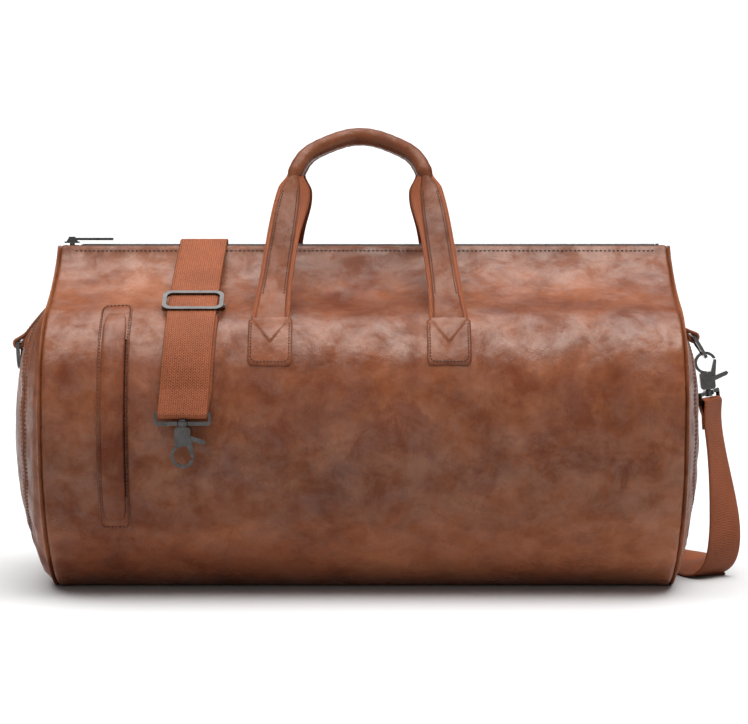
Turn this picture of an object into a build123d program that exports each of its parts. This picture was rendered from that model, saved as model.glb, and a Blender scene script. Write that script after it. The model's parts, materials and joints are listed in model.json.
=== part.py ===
from build123d import *
from math import acos, atan2, cos, degrees, hypot, radians, sin, sqrt
import os

# Convertible garment duffel: a leather wrap closed by a ridge zip, two domed ends,
# two carrying handles and a webbing shoulder strap. Millimetres; the origin is the
# middle of the base, X runs along the bag, -Y is the front and +Z is up.

# ---- body ----
WRAP_HALF = 236.0  # half length of the leather wrap
SECTION_R = 141.0  # round part of the cross-section
SECTION_C = (0.0, 135.0)  # its centre, as (y, z)
SHOULDER_START = 16.0  # degrees at which the round becomes the tighter shoulder
SHOULDER_R = 70.6
SHOULDER_END = 73.2  # degrees at which the shoulder becomes the slack hollow
HOLLOW_R = 209.0
RIDGE_HALF = 13.5
RIDGE_TOP = 268.0
LEATHER = 2.4
LINING = 0.6
LINING_INSET = LEATHER + 0.4
LINING_TOP = 254.0
VALLEY = 6.0  # width of the zip valley between the wrap and each end
VALLEY_INSET = 2.5
CAP_START = WRAP_HALF + VALLEY
DOME_Z = 125.0
DOME_RIM_R = 143.0
LEFT_APEX = -277.0
RIGHT_APEX = 265.5
VALLEY_REACH = 30.0  # more than an end bulges beyond its valley
SHOE_ZIP_R = 100.0
SHOE_ZIP_HALF = 3.0
DIVIDER_X = -202.0

# ---- ridge zip ----
SLIT_HALF = 5.0
COIL_HALF_GAP = 0.6
COIL_OUT = 4.4
COIL_TOP = 269.6
TAPE_LOW = 264.5
TAPE_TOP = 265.4
TAPE_OUT = 10.8
ZIP_START = -225.0
ZIP_END = 233.0
SLIDER_X = -233.5
SLIDER_LENGTH = 12.0

# ---- front pocket ----
POCKET_X = -188.0
POCKET_LOW = 56.0
POCKET_HIGH = 223.0
POCKET_FRAME = 24.0
WELT = 13.0
POCKET_SLOT = 6.0

# ---- handles ----
HANDLE_MID = -2.9  # the handles sit a little left of the middle
HANDLE_X = 67.5  # from there to the middle of each patch
GRIP_R = 6.5
GRIP_Y = 9.5
GRIP_TOP = 355.5
PATCH_WIDTH = 34.0
PATCH_LOW = 181.0
PATCH_HIGH = 212.0
HINGE_OFFSET = 4.0

# ---- shoulder strap ----
STRAP = 37.5
STRAP_X = -130.0
STRAP_IN = 2.9
STRAP_OUT = 4.7
RETURN_IN = 1.0
RETURN_OUT = 2.6
RIDGE_BEND_C = (7.0, 267.0)
RIDGE_BEND_R = 6.1

os.makedirs("parts", exist_ok=True)


def save(piece, label):
    """Labels a finished piece and writes it to its own file."""
    piece.part.label = label
    export_step(piece.part, f"parts/{label}.step")


def polar(centre, radius, angle):
    """Point at an angle in degrees on a circle in the (y, z) plane."""
    return (centre[0] + radius * cos(radians(angle)), centre[1] + radius * sin(radians(angle)))


SHOULDER_C = polar(SECTION_C, SECTION_R - SHOULDER_R, SHOULDER_START)
HOLLOW_C = polar(SHOULDER_C, SHOULDER_R + HOLLOW_R, SHOULDER_END)


def base_corner(grow):
    """Where the flat base meets the round, on the cross-section grown by a distance."""
    return (sqrt((SECTION_R + grow) ** 2 - (SECTION_C[1] + grow) ** 2), -grow)


def round_side(grow, top):
    """Adds the base and the round side to the line being built, up to an angle."""
    corner = base_corner(grow)
    Line((0, corner[1]), corner)
    ThreePointArc(corner, polar(SECTION_C, SECTION_R + grow, -25), polar(SECTION_C, SECTION_R + grow, top))


def shoulder(grow, end):
    """Adds the tighter shoulder arc to the line being built, up to an angle."""
    middle = (SHOULDER_START + end) / 2
    points = [polar(SHOULDER_C, SHOULDER_R + grow, angle) for angle in (SHOULDER_START, middle, end)]
    ThreePointArc(*points)


def section(x, grow):
    """Cross-section of the wrap on the plane at x, grown outwards by a distance."""
    ridge = RIDGE_HALF + grow
    radius = HOLLOW_R - grow
    foot = (ridge, HOLLOW_C[1] - sqrt(radius**2 - (HOLLOW_C[0] - ridge) ** 2))
    start = polar(SHOULDER_C, SHOULDER_R + grow, SHOULDER_END)
    foot_angle = degrees(atan2(foot[1] - HOLLOW_C[1], foot[0] - HOLLOW_C[0]))
    middle = polar(HOLLOW_C, radius, (SHOULDER_END - 180 + foot_angle) / 2)
    with BuildSketch(Plane.YZ.offset(x)) as face:
        with BuildLine():
            round_side(grow, SHOULDER_START)
            shoulder(grow, SHOULDER_END)
            ThreePointArc(start, middle, foot)
            Polyline(foot, (ridge, RIDGE_TOP + grow), (0, RIDGE_TOP + grow))
            mirror(about=Plane.YZ)
        make_face()
    return face.sketch


def strap_angle():
    """Angle of the outward normal where the taut strap leaves the shoulder for the ridge."""
    dy = RIDGE_BEND_C[0] - SHOULDER_C[0]
    dz = RIDGE_BEND_C[1] - SHOULDER_C[1]
    return degrees(atan2(dz, dy) - acos((SHOULDER_R - RIDGE_BEND_R) / hypot(dy, dz)))


STRAP_ANGLE = strap_angle()


def strap_section(x, grow):
    """Closed line that the strap follows: round, shoulder, taut stretch and ridge."""
    bend = RIDGE_BEND_R + grow
    with BuildSketch(Plane.YZ.offset(x)) as face:
        with BuildLine():
            round_side(grow, SHOULDER_START)
            shoulder(grow, STRAP_ANGLE)
            Line(polar(SHOULDER_C, SHOULDER_R + grow, STRAP_ANGLE), polar(RIDGE_BEND_C, bend, STRAP_ANGLE))
            middle = (STRAP_ANGLE + 90) / 2
            ThreePointArc(*[polar(RIDGE_BEND_C, bend, angle) for angle in (STRAP_ANGLE, middle, 90)])
            Line(polar(RIDGE_BEND_C, bend, 90), (0, RIDGE_BEND_C[1] + bend))
            mirror(about=Plane.YZ)
        make_face()
    return face.sketch


def dome_radius(apex):
    """Radius of the sphere that an end follows, from its bulge beyond the zip valley."""
    bulge = abs(apex) - WRAP_HALF - VALLEY + 1
    return (DOME_RIM_R**2 + bulge**2) / (2 * bulge)


def dome_x(apex, radius):
    """x of the outer face of an end at a distance from its centre."""
    ball = dome_radius(apex)
    depth = ball - sqrt(ball**2 - radius**2)
    return apex + depth if apex < 0 else apex - depth


def shell(face_maker, start, length, inner, outer):
    """Thin sleeve between two grown copies of a cross-section."""
    with BuildPart() as sleeve:
        extrude(face_maker(start, outer), length)
        extrude(face_maker(start, inner), length, mode=Mode.SUBTRACT)
    return sleeve.part


# ================= leather wrap =================
with BuildPart() as body_wrap:
    add(shell(section, -WRAP_HALF, 2 * WRAP_HALF, -LEATHER, 0))
    with Locations((0, 0, RIDGE_TOP)):
        Box(2 * WRAP_HALF, 2 * SLIT_HALF, 4 * LEATHER, mode=Mode.SUBTRACT)
    with Locations((POCKET_X + WELT / 2, -SECTION_R, (POCKET_LOW + POCKET_HIGH) / 2)):
        Box(POCKET_SLOT, SECTION_R, POCKET_HIGH - POCKET_LOW - 40, mode=Mode.SUBTRACT)
save(body_wrap, "body_wrap")

# ================= front pocket =================
POUCH_WALL = 0.8
POUCH_FRONT = -126.0
POUCH_DEPTH = 14.0
POUCH_LENGTH = 130.0
POUCH_LOW = 84.0
POUCH_HEIGHT = 100.0
MOUTH_DEPTH = 32.0  # of the neck that joins the pouch to the slot in the leather
MOUTH_X = POCKET_X + WELT / 2
pouch_size = (POUCH_LENGTH, POUCH_DEPTH, POUCH_HEIGHT)
pouch_centre = (
    MOUTH_X - POCKET_SLOT / 2 + POUCH_LENGTH / 2,
    POUCH_FRONT + POUCH_DEPTH / 2,
    POUCH_LOW + POUCH_HEIGHT / 2,
)
mouth_centre = (MOUTH_X, POUCH_FRONT - MOUTH_DEPTH / 4, POUCH_LOW + POUCH_HEIGHT / 2)
mouth_size = (POCKET_SLOT, MOUTH_DEPTH, POUCH_HEIGHT)

with BuildPart() as pouch_hull:
    with Locations(pouch_centre):
        Box(*[side + 2 * POUCH_WALL for side in pouch_size])
    with Locations(mouth_centre):
        Box(*[side + 2 * POUCH_WALL for side in mouth_size])
    extrude(section(-WRAP_HALF, -LINING_INSET), 2 * WRAP_HALF, mode=Mode.INTERSECT)

with BuildPart() as pocket_pouch:
    add(pouch_hull.part)
    with Locations(pouch_centre):
        Box(*pouch_size, mode=Mode.SUBTRACT)
    with Locations(mouth_centre):
        Box(*mouth_size, mode=Mode.SUBTRACT)
save(pocket_pouch, "pocket_pouch")

with BuildPart() as pocket_welt:
    with BuildSketch(Plane.XZ.offset(SECTION_R / 2)):
        with Locations((POCKET_X, (POCKET_LOW + POCKET_HIGH) / 2)):
            RectangleRounded(POCKET_FRAME, POCKET_HIGH - POCKET_LOW, 5)
        with Locations((MOUTH_X, (POCKET_LOW + POCKET_HIGH) / 2)):
            Rectangle(POCKET_SLOT - 2, POCKET_HIGH - POCKET_LOW - 36, mode=Mode.SUBTRACT)
    extrude(amount=SECTION_R)
    add(shell(section, POCKET_X - POCKET_FRAME, 2 * POCKET_FRAME, 0, 1.4), mode=Mode.INTERSECT)
save(pocket_welt, "pocket_welt")

# ================= inside =================
with BuildPart() as wrap_lining:
    add(shell(section, -WRAP_HALF + 2, 2 * WRAP_HALF - 4, -LINING_INSET - LINING, -LINING_INSET))
    with Locations((0, 0, LINING_TOP + SECTION_R / 2)):
        Box(2 * WRAP_HALF, SECTION_R, SECTION_R, mode=Mode.SUBTRACT)
    add(pouch_hull.part, mode=Mode.SUBTRACT)
    with Locations(mouth_centre):
        Box(*mouth_size, mode=Mode.SUBTRACT)
save(wrap_lining, "wrap_lining")

BOARD_HALF_WIDTH = 39.0
BOARD = 3.0
board_low = LINING_INSET + LINING + 0.3
with BuildPart() as base_board:
    with BuildSketch(Plane.XY.offset(board_low)):
        with Locations(((DIVIDER_X + WRAP_HALF) / 2, 0)):
            RectangleRounded(WRAP_HALF - DIVIDER_X - 16, 2 * BOARD_HALF_WIDTH, 10)
    extrude(amount=BOARD)
save(base_board, "base_board")

with BuildPart() as shoe_compartment_divider:
    extrude(section(DIVIDER_X, -LINING_INSET - LINING - 0.4), 1.2)
    with Locations((DIVIDER_X, 0, LINING_TOP + SECTION_R / 2)):
        Box(WRAP_HALF, SECTION_R, SECTION_R, mode=Mode.SUBTRACT)
    add(pouch_hull.part, mode=Mode.SUBTRACT)
save(shoe_compartment_divider, "shoe_compartment_divider")


# ================= domed ends =================
def end_shell(apex, inner_radius, outer_radius, outside=0.0, thickness=LEATHER):
    """Leather of a domed end between two distances from its centre.

    The end follows a sphere, and a side wall along the cross-section joins it to the valley.
    """
    ball = dome_radius(apex)
    side = -1 if apex < 0 else 1
    centre = (apex - side * ball, 0, DOME_Z)
    with BuildPart() as hollow:
        extrude(section(side * CAP_START, outside - thickness), 2 * side * VALLEY_REACH)
        with Locations(centre):
            Sphere(ball + outside - thickness, mode=Mode.INTERSECT)
    with BuildPart() as dome:
        extrude(section(side * CAP_START, min(outside, 0)), 2 * side * VALLEY_REACH)
        with Locations(centre):
            Sphere(ball + outside, mode=Mode.INTERSECT)
        add(hollow.part, mode=Mode.SUBTRACT)
        with Locations((side * CAP_START, 0, DOME_Z)):
            if outer_radius:
                Cylinder(outer_radius, 4 * VALLEY_REACH, rotation=(0, 90, 0), mode=Mode.INTERSECT)
            if inner_radius:
                Cylinder(inner_radius, 4 * VALLEY_REACH, rotation=(0, 90, 0), mode=Mode.SUBTRACT)
    return dome.part


END_PIECES = {
    "left_end_gusset": (LEFT_APEX, SHOE_ZIP_R + SHOE_ZIP_HALF, None),
    "left_end_panel": (LEFT_APEX, None, SHOE_ZIP_R - SHOE_ZIP_HALF),
    "right_end_gusset": (RIGHT_APEX, SHOE_ZIP_R, None),
    "right_end_panel": (RIGHT_APEX, None, SHOE_ZIP_R - 0.2),
}
for label, (apex, inner_radius, outer_radius) in END_PIECES.items():
    with BuildPart() as end_piece:
        add(end_shell(apex, inner_radius, outer_radius))
    save(end_piece, label)

with BuildPart() as shoe_zip_tape:
    add(end_shell(LEFT_APEX, SHOE_ZIP_R - SHOE_ZIP_HALF, SHOE_ZIP_R + SHOE_ZIP_HALF, -0.8, 1.4))
save(shoe_zip_tape, "shoe_zip_tape")

for side, name in ((-1, "left_wrap_zip_tape"), (1, "right_wrap_zip_tape")):
    with BuildPart() as valley_tape:
        add(shell(section, side * WRAP_HALF, side * VALLEY, -VALLEY_INSET - 1.2, -VALLEY_INSET))
    save(valley_tape, name)

# ================= ridge zip =================
for side, name in ((-1, "front"), (1, "back")):
    with BuildPart() as zip_tape:
        with Locations((0, side * (COIL_HALF_GAP + TAPE_OUT) / 2, (TAPE_LOW + TAPE_TOP) / 2)):
            Box(2 * WRAP_HALF, TAPE_OUT - COIL_HALF_GAP, TAPE_TOP - TAPE_LOW)
    save(zip_tape, f"top_zip_tape_{name}")
    with BuildPart() as zip_coil:
        with Locations(((ZIP_START + ZIP_END) / 2, side * (COIL_HALF_GAP + COIL_OUT) / 2, TAPE_TOP)):
            Box(
                ZIP_END - ZIP_START,
                COIL_OUT - COIL_HALF_GAP,
                COIL_TOP - TAPE_TOP,
                align=(Align.CENTER, Align.CENTER, Align.MIN),
            )
    save(zip_coil, f"top_zip_coil_{name}")

with BuildPart() as top_zip_stop:
    with Locations((ZIP_END + 1.4, 0, TAPE_TOP)):
        Box(2.2, 2 * COIL_OUT, COIL_TOP - TAPE_TOP, align=(Align.CENTER, Align.CENTER, Align.MIN))
save(top_zip_stop, "top_zip_stop")

PLATE_LOW = COIL_TOP + 0.4
PLATE = 1.3
PULL_PIN_Z = PLATE_LOW + PLATE + 1.9
PULL_PIN_R = 0.94
PULL_LENGTH = 33.0
PULL = 2.0  # thickness
with BuildPart() as top_zip_slider:
    with BuildSketch(Plane.XY.offset(PLATE_LOW)):
        with Locations((SLIDER_X, 0)):
            RectangleRounded(SLIDER_LENGTH, 2 * SLIT_HALF + 1, 2.5)
    extrude(amount=PLATE)
    with Locations((SLIDER_X, 0, TAPE_LOW - 0.4)):
        Box(SLIDER_LENGTH, 9, 1.4, align=(Align.CENTER, Align.CENTER, Align.MAX))
        Box(4, 0.6, PLATE_LOW - TAPE_LOW + 1, align=(Align.CENTER, Align.CENTER, Align.MIN))
    with BuildSketch(Plane.XZ):
        with Locations((SLIDER_X, PLATE_LOW + PLATE)):
            Trapezoid(9, 3.8, 60, align=(Align.CENTER, Align.MIN))
    extrude(amount=1.5, both=True)
    with Locations((SLIDER_X, 0, PULL_PIN_Z)):
        Cylinder(PULL_PIN_R + 0.06, 4, rotation=(90, 0, 0), mode=Mode.SUBTRACT)
save(top_zip_slider, "top_zip_slider")

with BuildPart() as top_zip_pull:
    with BuildSketch(Plane.XY.offset(PULL_PIN_Z - PULL / 2)):
        with Locations((SLIDER_X - 1, 0)):
            Rectangle(PULL_LENGTH, 6.2, align=(Align.MIN, Align.CENTER))
        with Locations((SLIDER_X + PULL_LENGTH - 12, 0)):
            RectangleRounded(12, 9, 2, align=(Align.MIN, Align.CENTER))
        with Locations((SLIDER_X - 1, 0)):
            Rectangle(7.4, 3.8, align=(Align.MIN, Align.CENTER), mode=Mode.SUBTRACT)
        with Locations((SLIDER_X + PULL_LENGTH - 5, 0)):
            SlotOverall(5, 2.6, mode=Mode.SUBTRACT)
    extrude(amount=PULL)
    with Locations((SLIDER_X, 0, PULL_PIN_Z)):
        Cylinder(PULL_PIN_R, 6.2, rotation=(90, 0, 0))
save(top_zip_pull, "top_zip_pull")


# ================= sliders of the hidden zips =================
def save_at(piece, plane, label):
    """Writes a piece that was made in the local frame of a plane."""
    placed = plane.from_local_coords(piece.part)
    placed.label = label
    export_step(placed, f"parts/{label}.step")


def side_slider(width, length, low, high):
    """Plain slider, local z away from the tape and local y along the zip."""
    with BuildPart() as slider:
        with BuildSketch(Plane.XY.offset(low)):
            RectangleRounded(width, length, width / 3)
        extrude(amount=high - low)
    return slider


def side_pull(width, length, low, thickness):
    """Flat pull that hangs along local -y from the middle of its slider."""
    with BuildPart() as pull:
        with BuildSketch(Plane.XY.offset(low)):
            with Locations((0, 2)):
                RectangleRounded(width, length, width / 3, align=(Align.CENTER, Align.MAX))
        extrude(amount=thickness)
    return pull


WRAP_PARK = 12.0
radial = (0, cos(radians(WRAP_PARK)), sin(radians(WRAP_PARK)))
for side, name in ((-1, "left"), (1, "right")):
    spot = polar(SECTION_C, SECTION_R, WRAP_PARK)
    seat = Plane(origin=(side * (WRAP_HALF + VALLEY / 2), *spot), x_dir=(-1, 0, 0), z_dir=radial)
    save_at(side_slider(4.6, 12, -2.2, 1.2), seat, f"{name}_wrap_zip_slider")
    save_at(side_pull(5.0, 26, 1.2, 1.2), seat, f"{name}_wrap_zip_pull")

SHOE_PARK = 20.0
spot = polar((0.0, DOME_Z), SHOE_ZIP_R, SHOE_PARK)
ball = dome_radius(LEFT_APEX)
normal = Vector(dome_x(LEFT_APEX, SHOE_ZIP_R) - LEFT_APEX - ball, spot[0], spot[1] - DOME_Z)
along = (0, sin(radians(SHOE_PARK)), -cos(radians(SHOE_PARK)))
seat = Plane(
    origin=(dome_x(LEFT_APEX, SHOE_ZIP_R), *spot),
    x_dir=normal.cross(Vector(*along)),
    z_dir=normal,
)
save_at(side_slider(5.2, 11, -0.5, 1.6), seat, "shoe_zip_slider")
save_at(side_pull(5.0, 22, 1.6, 1.2), seat, "shoe_zip_pull")

# ================= carrying handles =================
hinge_rise = PATCH_HIGH - SHOULDER_C[1]
HINGE_ANGLE = degrees(atan2(hinge_rise, sqrt(SHOULDER_R**2 - hinge_rise**2)))
hinge_y, hinge_z = polar(SHOULDER_C, SHOULDER_R + HINGE_OFFSET, HINGE_ANGLE)
LEG_OUTER = [(-82.3, 1.5), (-76.1, 42.0), (-69.9, 92.0), (-61.7, 132.0)]
LEG_INNER = [(-43.5, 132.0), (-45.6, 92.0), (-50.7, 42.0), (-52.6, 1.5)]
GRIP_ROUTE = [(-51.4, 135.6), (-44.0, 156.0), (0.0, 174.5), (44.0, 156.0), (51.4, 135.6)]


def leg_pair(margin, low, high):
    """Both legs of a handle as flat strips, narrowed by a margin, between two heights."""
    with BuildPart() as legs:
        with BuildSketch(Plane.XY.offset(low)):
            with BuildLine():
                outer = [(x + margin, s) for x, s in LEG_OUTER]
                inner = [(x - margin, s) for x, s in LEG_INNER]
                Spline(*outer)
                Line(outer[-1], inner[0])
                Spline(*inner)
                Line(inner[-1], outer[0])
            make_face()
            mirror(about=Plane.YZ)
        extrude(amount=high - low)
    return legs


for side, name in ((-1, "front"), (1, "back")):
    slope = (0, -side * (hinge_y - GRIP_Y), GRIP_TOP - hinge_z)
    outward = (0, side * slope[2], hinge_y - GRIP_Y)
    seat = Plane(origin=(HANDLE_MID, side * hinge_y, hinge_z), x_dir=(-side, 0, 0), z_dir=outward)
    save_at(leg_pair(0, -1.0, 1.0), seat, f"{name}_handle_webbing")
    save_at(leg_pair(3.0, 1.1, 2.3), seat, f"{name}_handle_leather")

    with BuildPart() as grip:
        with BuildLine() as route:
            FilletPolyline(*GRIP_ROUTE, radius=[34, 60, 34])
        with BuildSketch(Plane(origin=route.line @ 0, z_dir=route.line % 0)):
            Circle(GRIP_R)
        sweep()
    save_at(grip, seat, f"{name}_handle_grip")

    with BuildPart() as patches:
        with BuildSketch(Plane.XZ):
            for patch_x in (HANDLE_MID - HANDLE_X, HANDLE_MID + HANDLE_X):
                with Locations((patch_x, (PATCH_LOW + PATCH_HIGH - 3) / 2)):
                    RectangleRounded(PATCH_WIDTH, PATCH_HIGH - PATCH_LOW - 3, 3)
        extrude(amount=-side * 2 * SECTION_R)
        add(shell(section, -WRAP_HALF, 2 * WRAP_HALF, 0, 1.5), mode=Mode.INTERSECT)
    save(patches, f"{name}_handle_patches")

# ================= ring tabs and D-rings =================
WIRE_R = 1.5
RING_HALF_WIDTH = 15.0
RING_DROP = 21.0
TAB_WIDTH = 20.0
TAB_LOOP_R = 2.9
TAB_LEATHER = 2.2
TAB_HEIGHT = 24.0


def d_ring():
    """D-ring in the local XY plane: straight bar along x, bow towards -y."""
    with BuildPart() as ring:
        with BuildSketch():
            Ellipse(RING_HALF_WIDTH, RING_DROP)
            Ellipse(RING_HALF_WIDTH - 2 * WIRE_R, RING_DROP - 2 * WIRE_R, mode=Mode.SUBTRACT)
            with Locations((0, RING_DROP / 2)):
                Rectangle(4 * RING_HALF_WIDTH, RING_DROP, mode=Mode.SUBTRACT)
        extrude(amount=WIRE_R * 0.9, both=True)
        Cylinder(WIRE_R, 2 * RING_HALF_WIDTH - 2, rotation=(0, 90, 0))
    return ring


RING_PIVOTS = {"left": (-275.9, 190.0, 0.0), "right": (263.4, 195.0, 33.0)}
for name, (pivot_x, pivot_z, tilt) in RING_PIVOTS.items():
    side = -1 if pivot_x < 0 else 1
    apex = LEFT_APEX if side < 0 else RIGHT_APEX
    hang = (-side * sin(radians(tilt)), 0, cos(radians(tilt)))
    seat = Plane(
        origin=(pivot_x, 0, pivot_z),
        x_dir=(0, 1, 0),
        z_dir=Vector(0, 1, 0).cross(Vector(*hang)),
    )
    save_at(d_ring(), seat, f"{name}_d_ring")

    with BuildPart() as strip:
        add(end_shell(apex, 0, SHOE_ZIP_R - 6, TAB_LEATHER, TAB_LEATHER))
        with Locations((pivot_x, 0, pivot_z)):
            Box(
                4 * TAB_WIDTH,
                TAB_WIDTH,
                TAB_HEIGHT,
                align=(Align.CENTER, Align.CENTER, Align.MIN),
                mode=Mode.INTERSECT,
            )

    stand_off = abs(pivot_x - dome_x(apex, pivot_z - DOME_Z))
    with BuildPart() as tab:
        with Locations((pivot_x, 0, pivot_z)):
            Cylinder(TAB_LOOP_R, TAB_WIDTH, rotation=(90, 0, 0))
            with Locations((-side * stand_off / 2, 0, 0)):
                Box(stand_off + 2, TAB_WIDTH, 2 * TAB_LOOP_R)
        add(end_shell(apex, 0, SHOE_ZIP_R - 6, 2 * stand_off, 2 * stand_off), mode=Mode.INTERSECT)
        add(strip.part)
        with Locations((pivot_x, 0, pivot_z)):
            Cylinder(WIRE_R + 0.06, 2 * TAB_WIDTH, rotation=(90, 0, 0), mode=Mode.SUBTRACT)
    save(tab, f"{name}_ring_tab")

# ================= trigger hooks =================
BAIL_HALF = 21.2
BAIL_WIRE_R = 1.5
BAIL_BAR = 7.6  # height of the strap bar above the swivel
STEM_R = 2.0
EYE_DROP = 24.0  # from the swivel to the centre of the eye
EYE_OUT = 9.0
EYE_IN = 6.7
GATE_PIN = (3.2, -10.0)
GATE_PIN_R = 1.0


def hook_bail():
    """Rectangular loop for the strap, with a boss that the hook's stem turns in."""
    corner = BAIL_HALF - BAIL_WIRE_R
    with BuildPart() as bail:
        with BuildSketch(Plane.XZ):
            with Locations((0, BAIL_BAR / 2)):
                RectangleRounded(2 * BAIL_HALF, BAIL_BAR + 2 * BAIL_WIRE_R, 3)
                RectangleRounded(2 * corner - 1, BAIL_BAR - 2 * BAIL_WIRE_R, 1, mode=Mode.SUBTRACT)
        extrude(amount=0.9 * BAIL_WIRE_R, both=True)
        Cylinder(4.2, 3.6)
        Cylinder(STEM_R + 0.06, 12, mode=Mode.SUBTRACT)
    return bail


def gate_profile():
    """Trigger outline in the hook's XZ plane: arm, pivot eye and thumb lever."""
    with BuildSketch(Plane.XZ) as profile:
        with BuildLine():
            Polyline(
                GATE_PIN,
                (GATE_PIN[0] + 3.0, GATE_PIN[1] + 1.2),
                (9.0, -25.4),
                (6.9, -26.3),
                (GATE_PIN[0] - 1.6, GATE_PIN[1] - 1.0),
                close=True,
            )
        make_face()
        with BuildLine():
            Polyline(
                (GATE_PIN[0], GATE_PIN[1] + 2.0),
                (16.0, -12.2),
                (17.5, -14.0),
                (16.0, -15.6),
                (GATE_PIN[0], GATE_PIN[1] - 2.0),
                close=True,
            )
        make_face()
        with Locations(GATE_PIN):
            Circle(2.3)
    return profile.sketch


def hook_body():
    """Stem with its head, cheeks for the trigger and the open eye."""
    with BuildPart() as body:
        Cylinder(STEM_R, 9.5, align=(Align.CENTER, Align.CENTER, Align.MAX), mode=Mode.ADD)
        with Locations((0, 0, -5)):
            Cylinder(STEM_R, 7.1, align=(Align.CENTER, Align.CENTER, Align.MIN))
        with Locations((0, 0, 2.1)):
            Cylinder(3.0, 1.0, align=(Align.CENTER, Align.CENTER, Align.MIN))
        with BuildSketch(Plane.XZ):
            with Locations((0, -9.5)):
                RectangleRounded(12, 14, 2.5)
        extrude(amount=3, both=True)
        with BuildSketch(Plane.XZ):
            with Locations((0, -EYE_DROP)):
                Circle(EYE_OUT)
                Circle(EYE_IN, mode=Mode.SUBTRACT)
        extrude(amount=1.7, both=True)
        # slot between the cheeks, and the gap in the eye that the trigger closes
        with Locations((6.6, 0, -10)):
            Box(13, 3.4, 8.6, mode=Mode.SUBTRACT)
        with Locations((8.0, 0, -20)):
            Box(9, 8, 13.4, mode=Mode.SUBTRACT)
        with Locations((8.5, 0, -14.5)):
            Box(17, 3.4, 8, mode=Mode.SUBTRACT)
        with Locations((GATE_PIN[0], 0, GATE_PIN[1])):
            Cylinder(GATE_PIN_R, 8, rotation=(90, 0, 0), mode=Mode.SUBTRACT)
    return body


def hook_gate():
    """Spring trigger that turns on the pin."""
    with BuildPart() as gate:
        extrude(gate_profile(), 1.4, both=True)
        with Locations((GATE_PIN[0], 0, GATE_PIN[1])):
            Cylinder(GATE_PIN_R + 0.06, 8, rotation=(90, 0, 0), mode=Mode.SUBTRACT)
    return gate


def hook_pin():
    """Rivet through both cheeks and the trigger."""
    with BuildPart() as pin:
        with Locations((GATE_PIN[0], 0, GATE_PIN[1])):
            Cylinder(GATE_PIN_R, 6.2, rotation=(90, 0, 0))
            with Locations((0, 3.3, 0), (0, -3.3, 0)):
                Cylinder(1.7, 0.6, rotation=(90, 0, 0))
    return pin


FRONT_SWIVEL = (STRAP_X - 4.5, -150.5, 138.0)
RIGHT_EYE = (274.0, 0.0, 174.0)
RIGHT_TILT = 7.0
BAIL_TWIST = -62.0
hang = (sin(radians(RIGHT_TILT)), 0, -cos(radians(RIGHT_TILT)))
RIGHT_SWIVEL = [eye + EYE_DROP * step for eye, step in zip(RIGHT_EYE, hang)]
HOOK_SEATS = {
    "front": Plane(origin=FRONT_SWIVEL, x_dir=(1, 0, 0), z_dir=(0, 0, 1)),
    "right": Plane(origin=RIGHT_SWIVEL, x_dir=(cos(radians(RIGHT_TILT)), 0, sin(radians(RIGHT_TILT))), z_dir=hang),
}
for name, seat in HOOK_SEATS.items():
    twist = BAIL_TWIST if name == "right" else 0
    turned = seat.x_dir * cos(radians(twist)) + seat.y_dir * sin(radians(twist))
    save_at(hook_bail(), Plane(origin=seat.origin, x_dir=turned, z_dir=seat.z_dir), f"{name}_hook_bail")
    save_at(hook_body(), seat, f"{name}_hook_body")
    save_at(hook_gate(), seat, f"{name}_hook_gate")
    save_at(hook_pin(), seat, f"{name}_hook_pin")

# ================= shoulder strap =================
STRAP_LOW = STRAP_X - STRAP / 2
LOOP_IN = 2.2
LOOP_OUT = 3.9
WEB = STRAP_OUT - STRAP_IN
LAST_HELD_Z = 160.0  # below this the front end leans out to its hook
ARCH_HALF = 12.0
BACK_ROUTE = (STRAP_IN + STRAP_OUT) / 2 + SECTION_R


def front_bar():
    """Bar of the front bail that the strap folds around, as (y, z)."""
    return (FRONT_SWIVEL[1], FRONT_SWIVEL[2] + BAIL_BAR)


def lean_out(inner, outer, foot):
    """Straight end of a strap layer, from the held height out to the fold at the hook."""
    heights = LAST_HELD_Z - SECTION_C[1]
    near, far = [-sqrt((SECTION_R + grow) ** 2 - heights**2) for grow in (inner, outer)]
    bottom = front_bar()[1] + LOOP_OUT - 0.2
    with BuildSketch(Plane.YZ.offset(FRONT_SWIVEL[0] - STRAP / 2)) as face:
        with BuildLine():
            Polyline(
                (near, LAST_HELD_Z),
                (far, LAST_HELD_Z),
                (foot - outer + inner, bottom),
                (foot, bottom),
                close=True,
            )
        make_face()
    return face.sketch


with BuildPart() as strap_front_drop:
    add(shell(strap_section, STRAP_LOW, STRAP, STRAP_IN, STRAP_OUT))
    with Locations((STRAP_X, -ARCH_HALF, LAST_HELD_Z)):
        Box(STRAP, SECTION_R, SECTION_R, align=(Align.CENTER, Align.MAX, Align.MIN), mode=Mode.INTERSECT)
    extrude(lean_out(STRAP_IN, STRAP_OUT, front_bar()[0] - LOOP_IN), STRAP)
save(strap_front_drop, "strap_front_drop")

with BuildPart() as strap_ridge_arch:
    add(shell(strap_section, STRAP_LOW, STRAP, STRAP_IN, STRAP_OUT))
    with Locations((STRAP_X, 0, RIDGE_TOP)):
        Box(STRAP, 2 * ARCH_HALF, SECTION_R, mode=Mode.INTERSECT)
save(strap_ridge_arch, "strap_ridge_arch")

SLIDE_SEAT = 14.0  # from the end of the taut stretch, up towards the ridge
tilt_out = polar((0, 0), 1, STRAP_ANGLE)
shoulder_end = polar(SHOULDER_C, SHOULDER_R, STRAP_ANGLE)
slide_y = shoulder_end[0] - SLIDE_SEAT * tilt_out[1]
slide_z = shoulder_end[1] + SLIDE_SEAT * tilt_out[0]
slide_plane = Plane(origin=(STRAP_X, -slide_y, slide_z), x_dir=(1, 0, 0), z_dir=(0, -tilt_out[0], tilt_out[1]))

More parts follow.
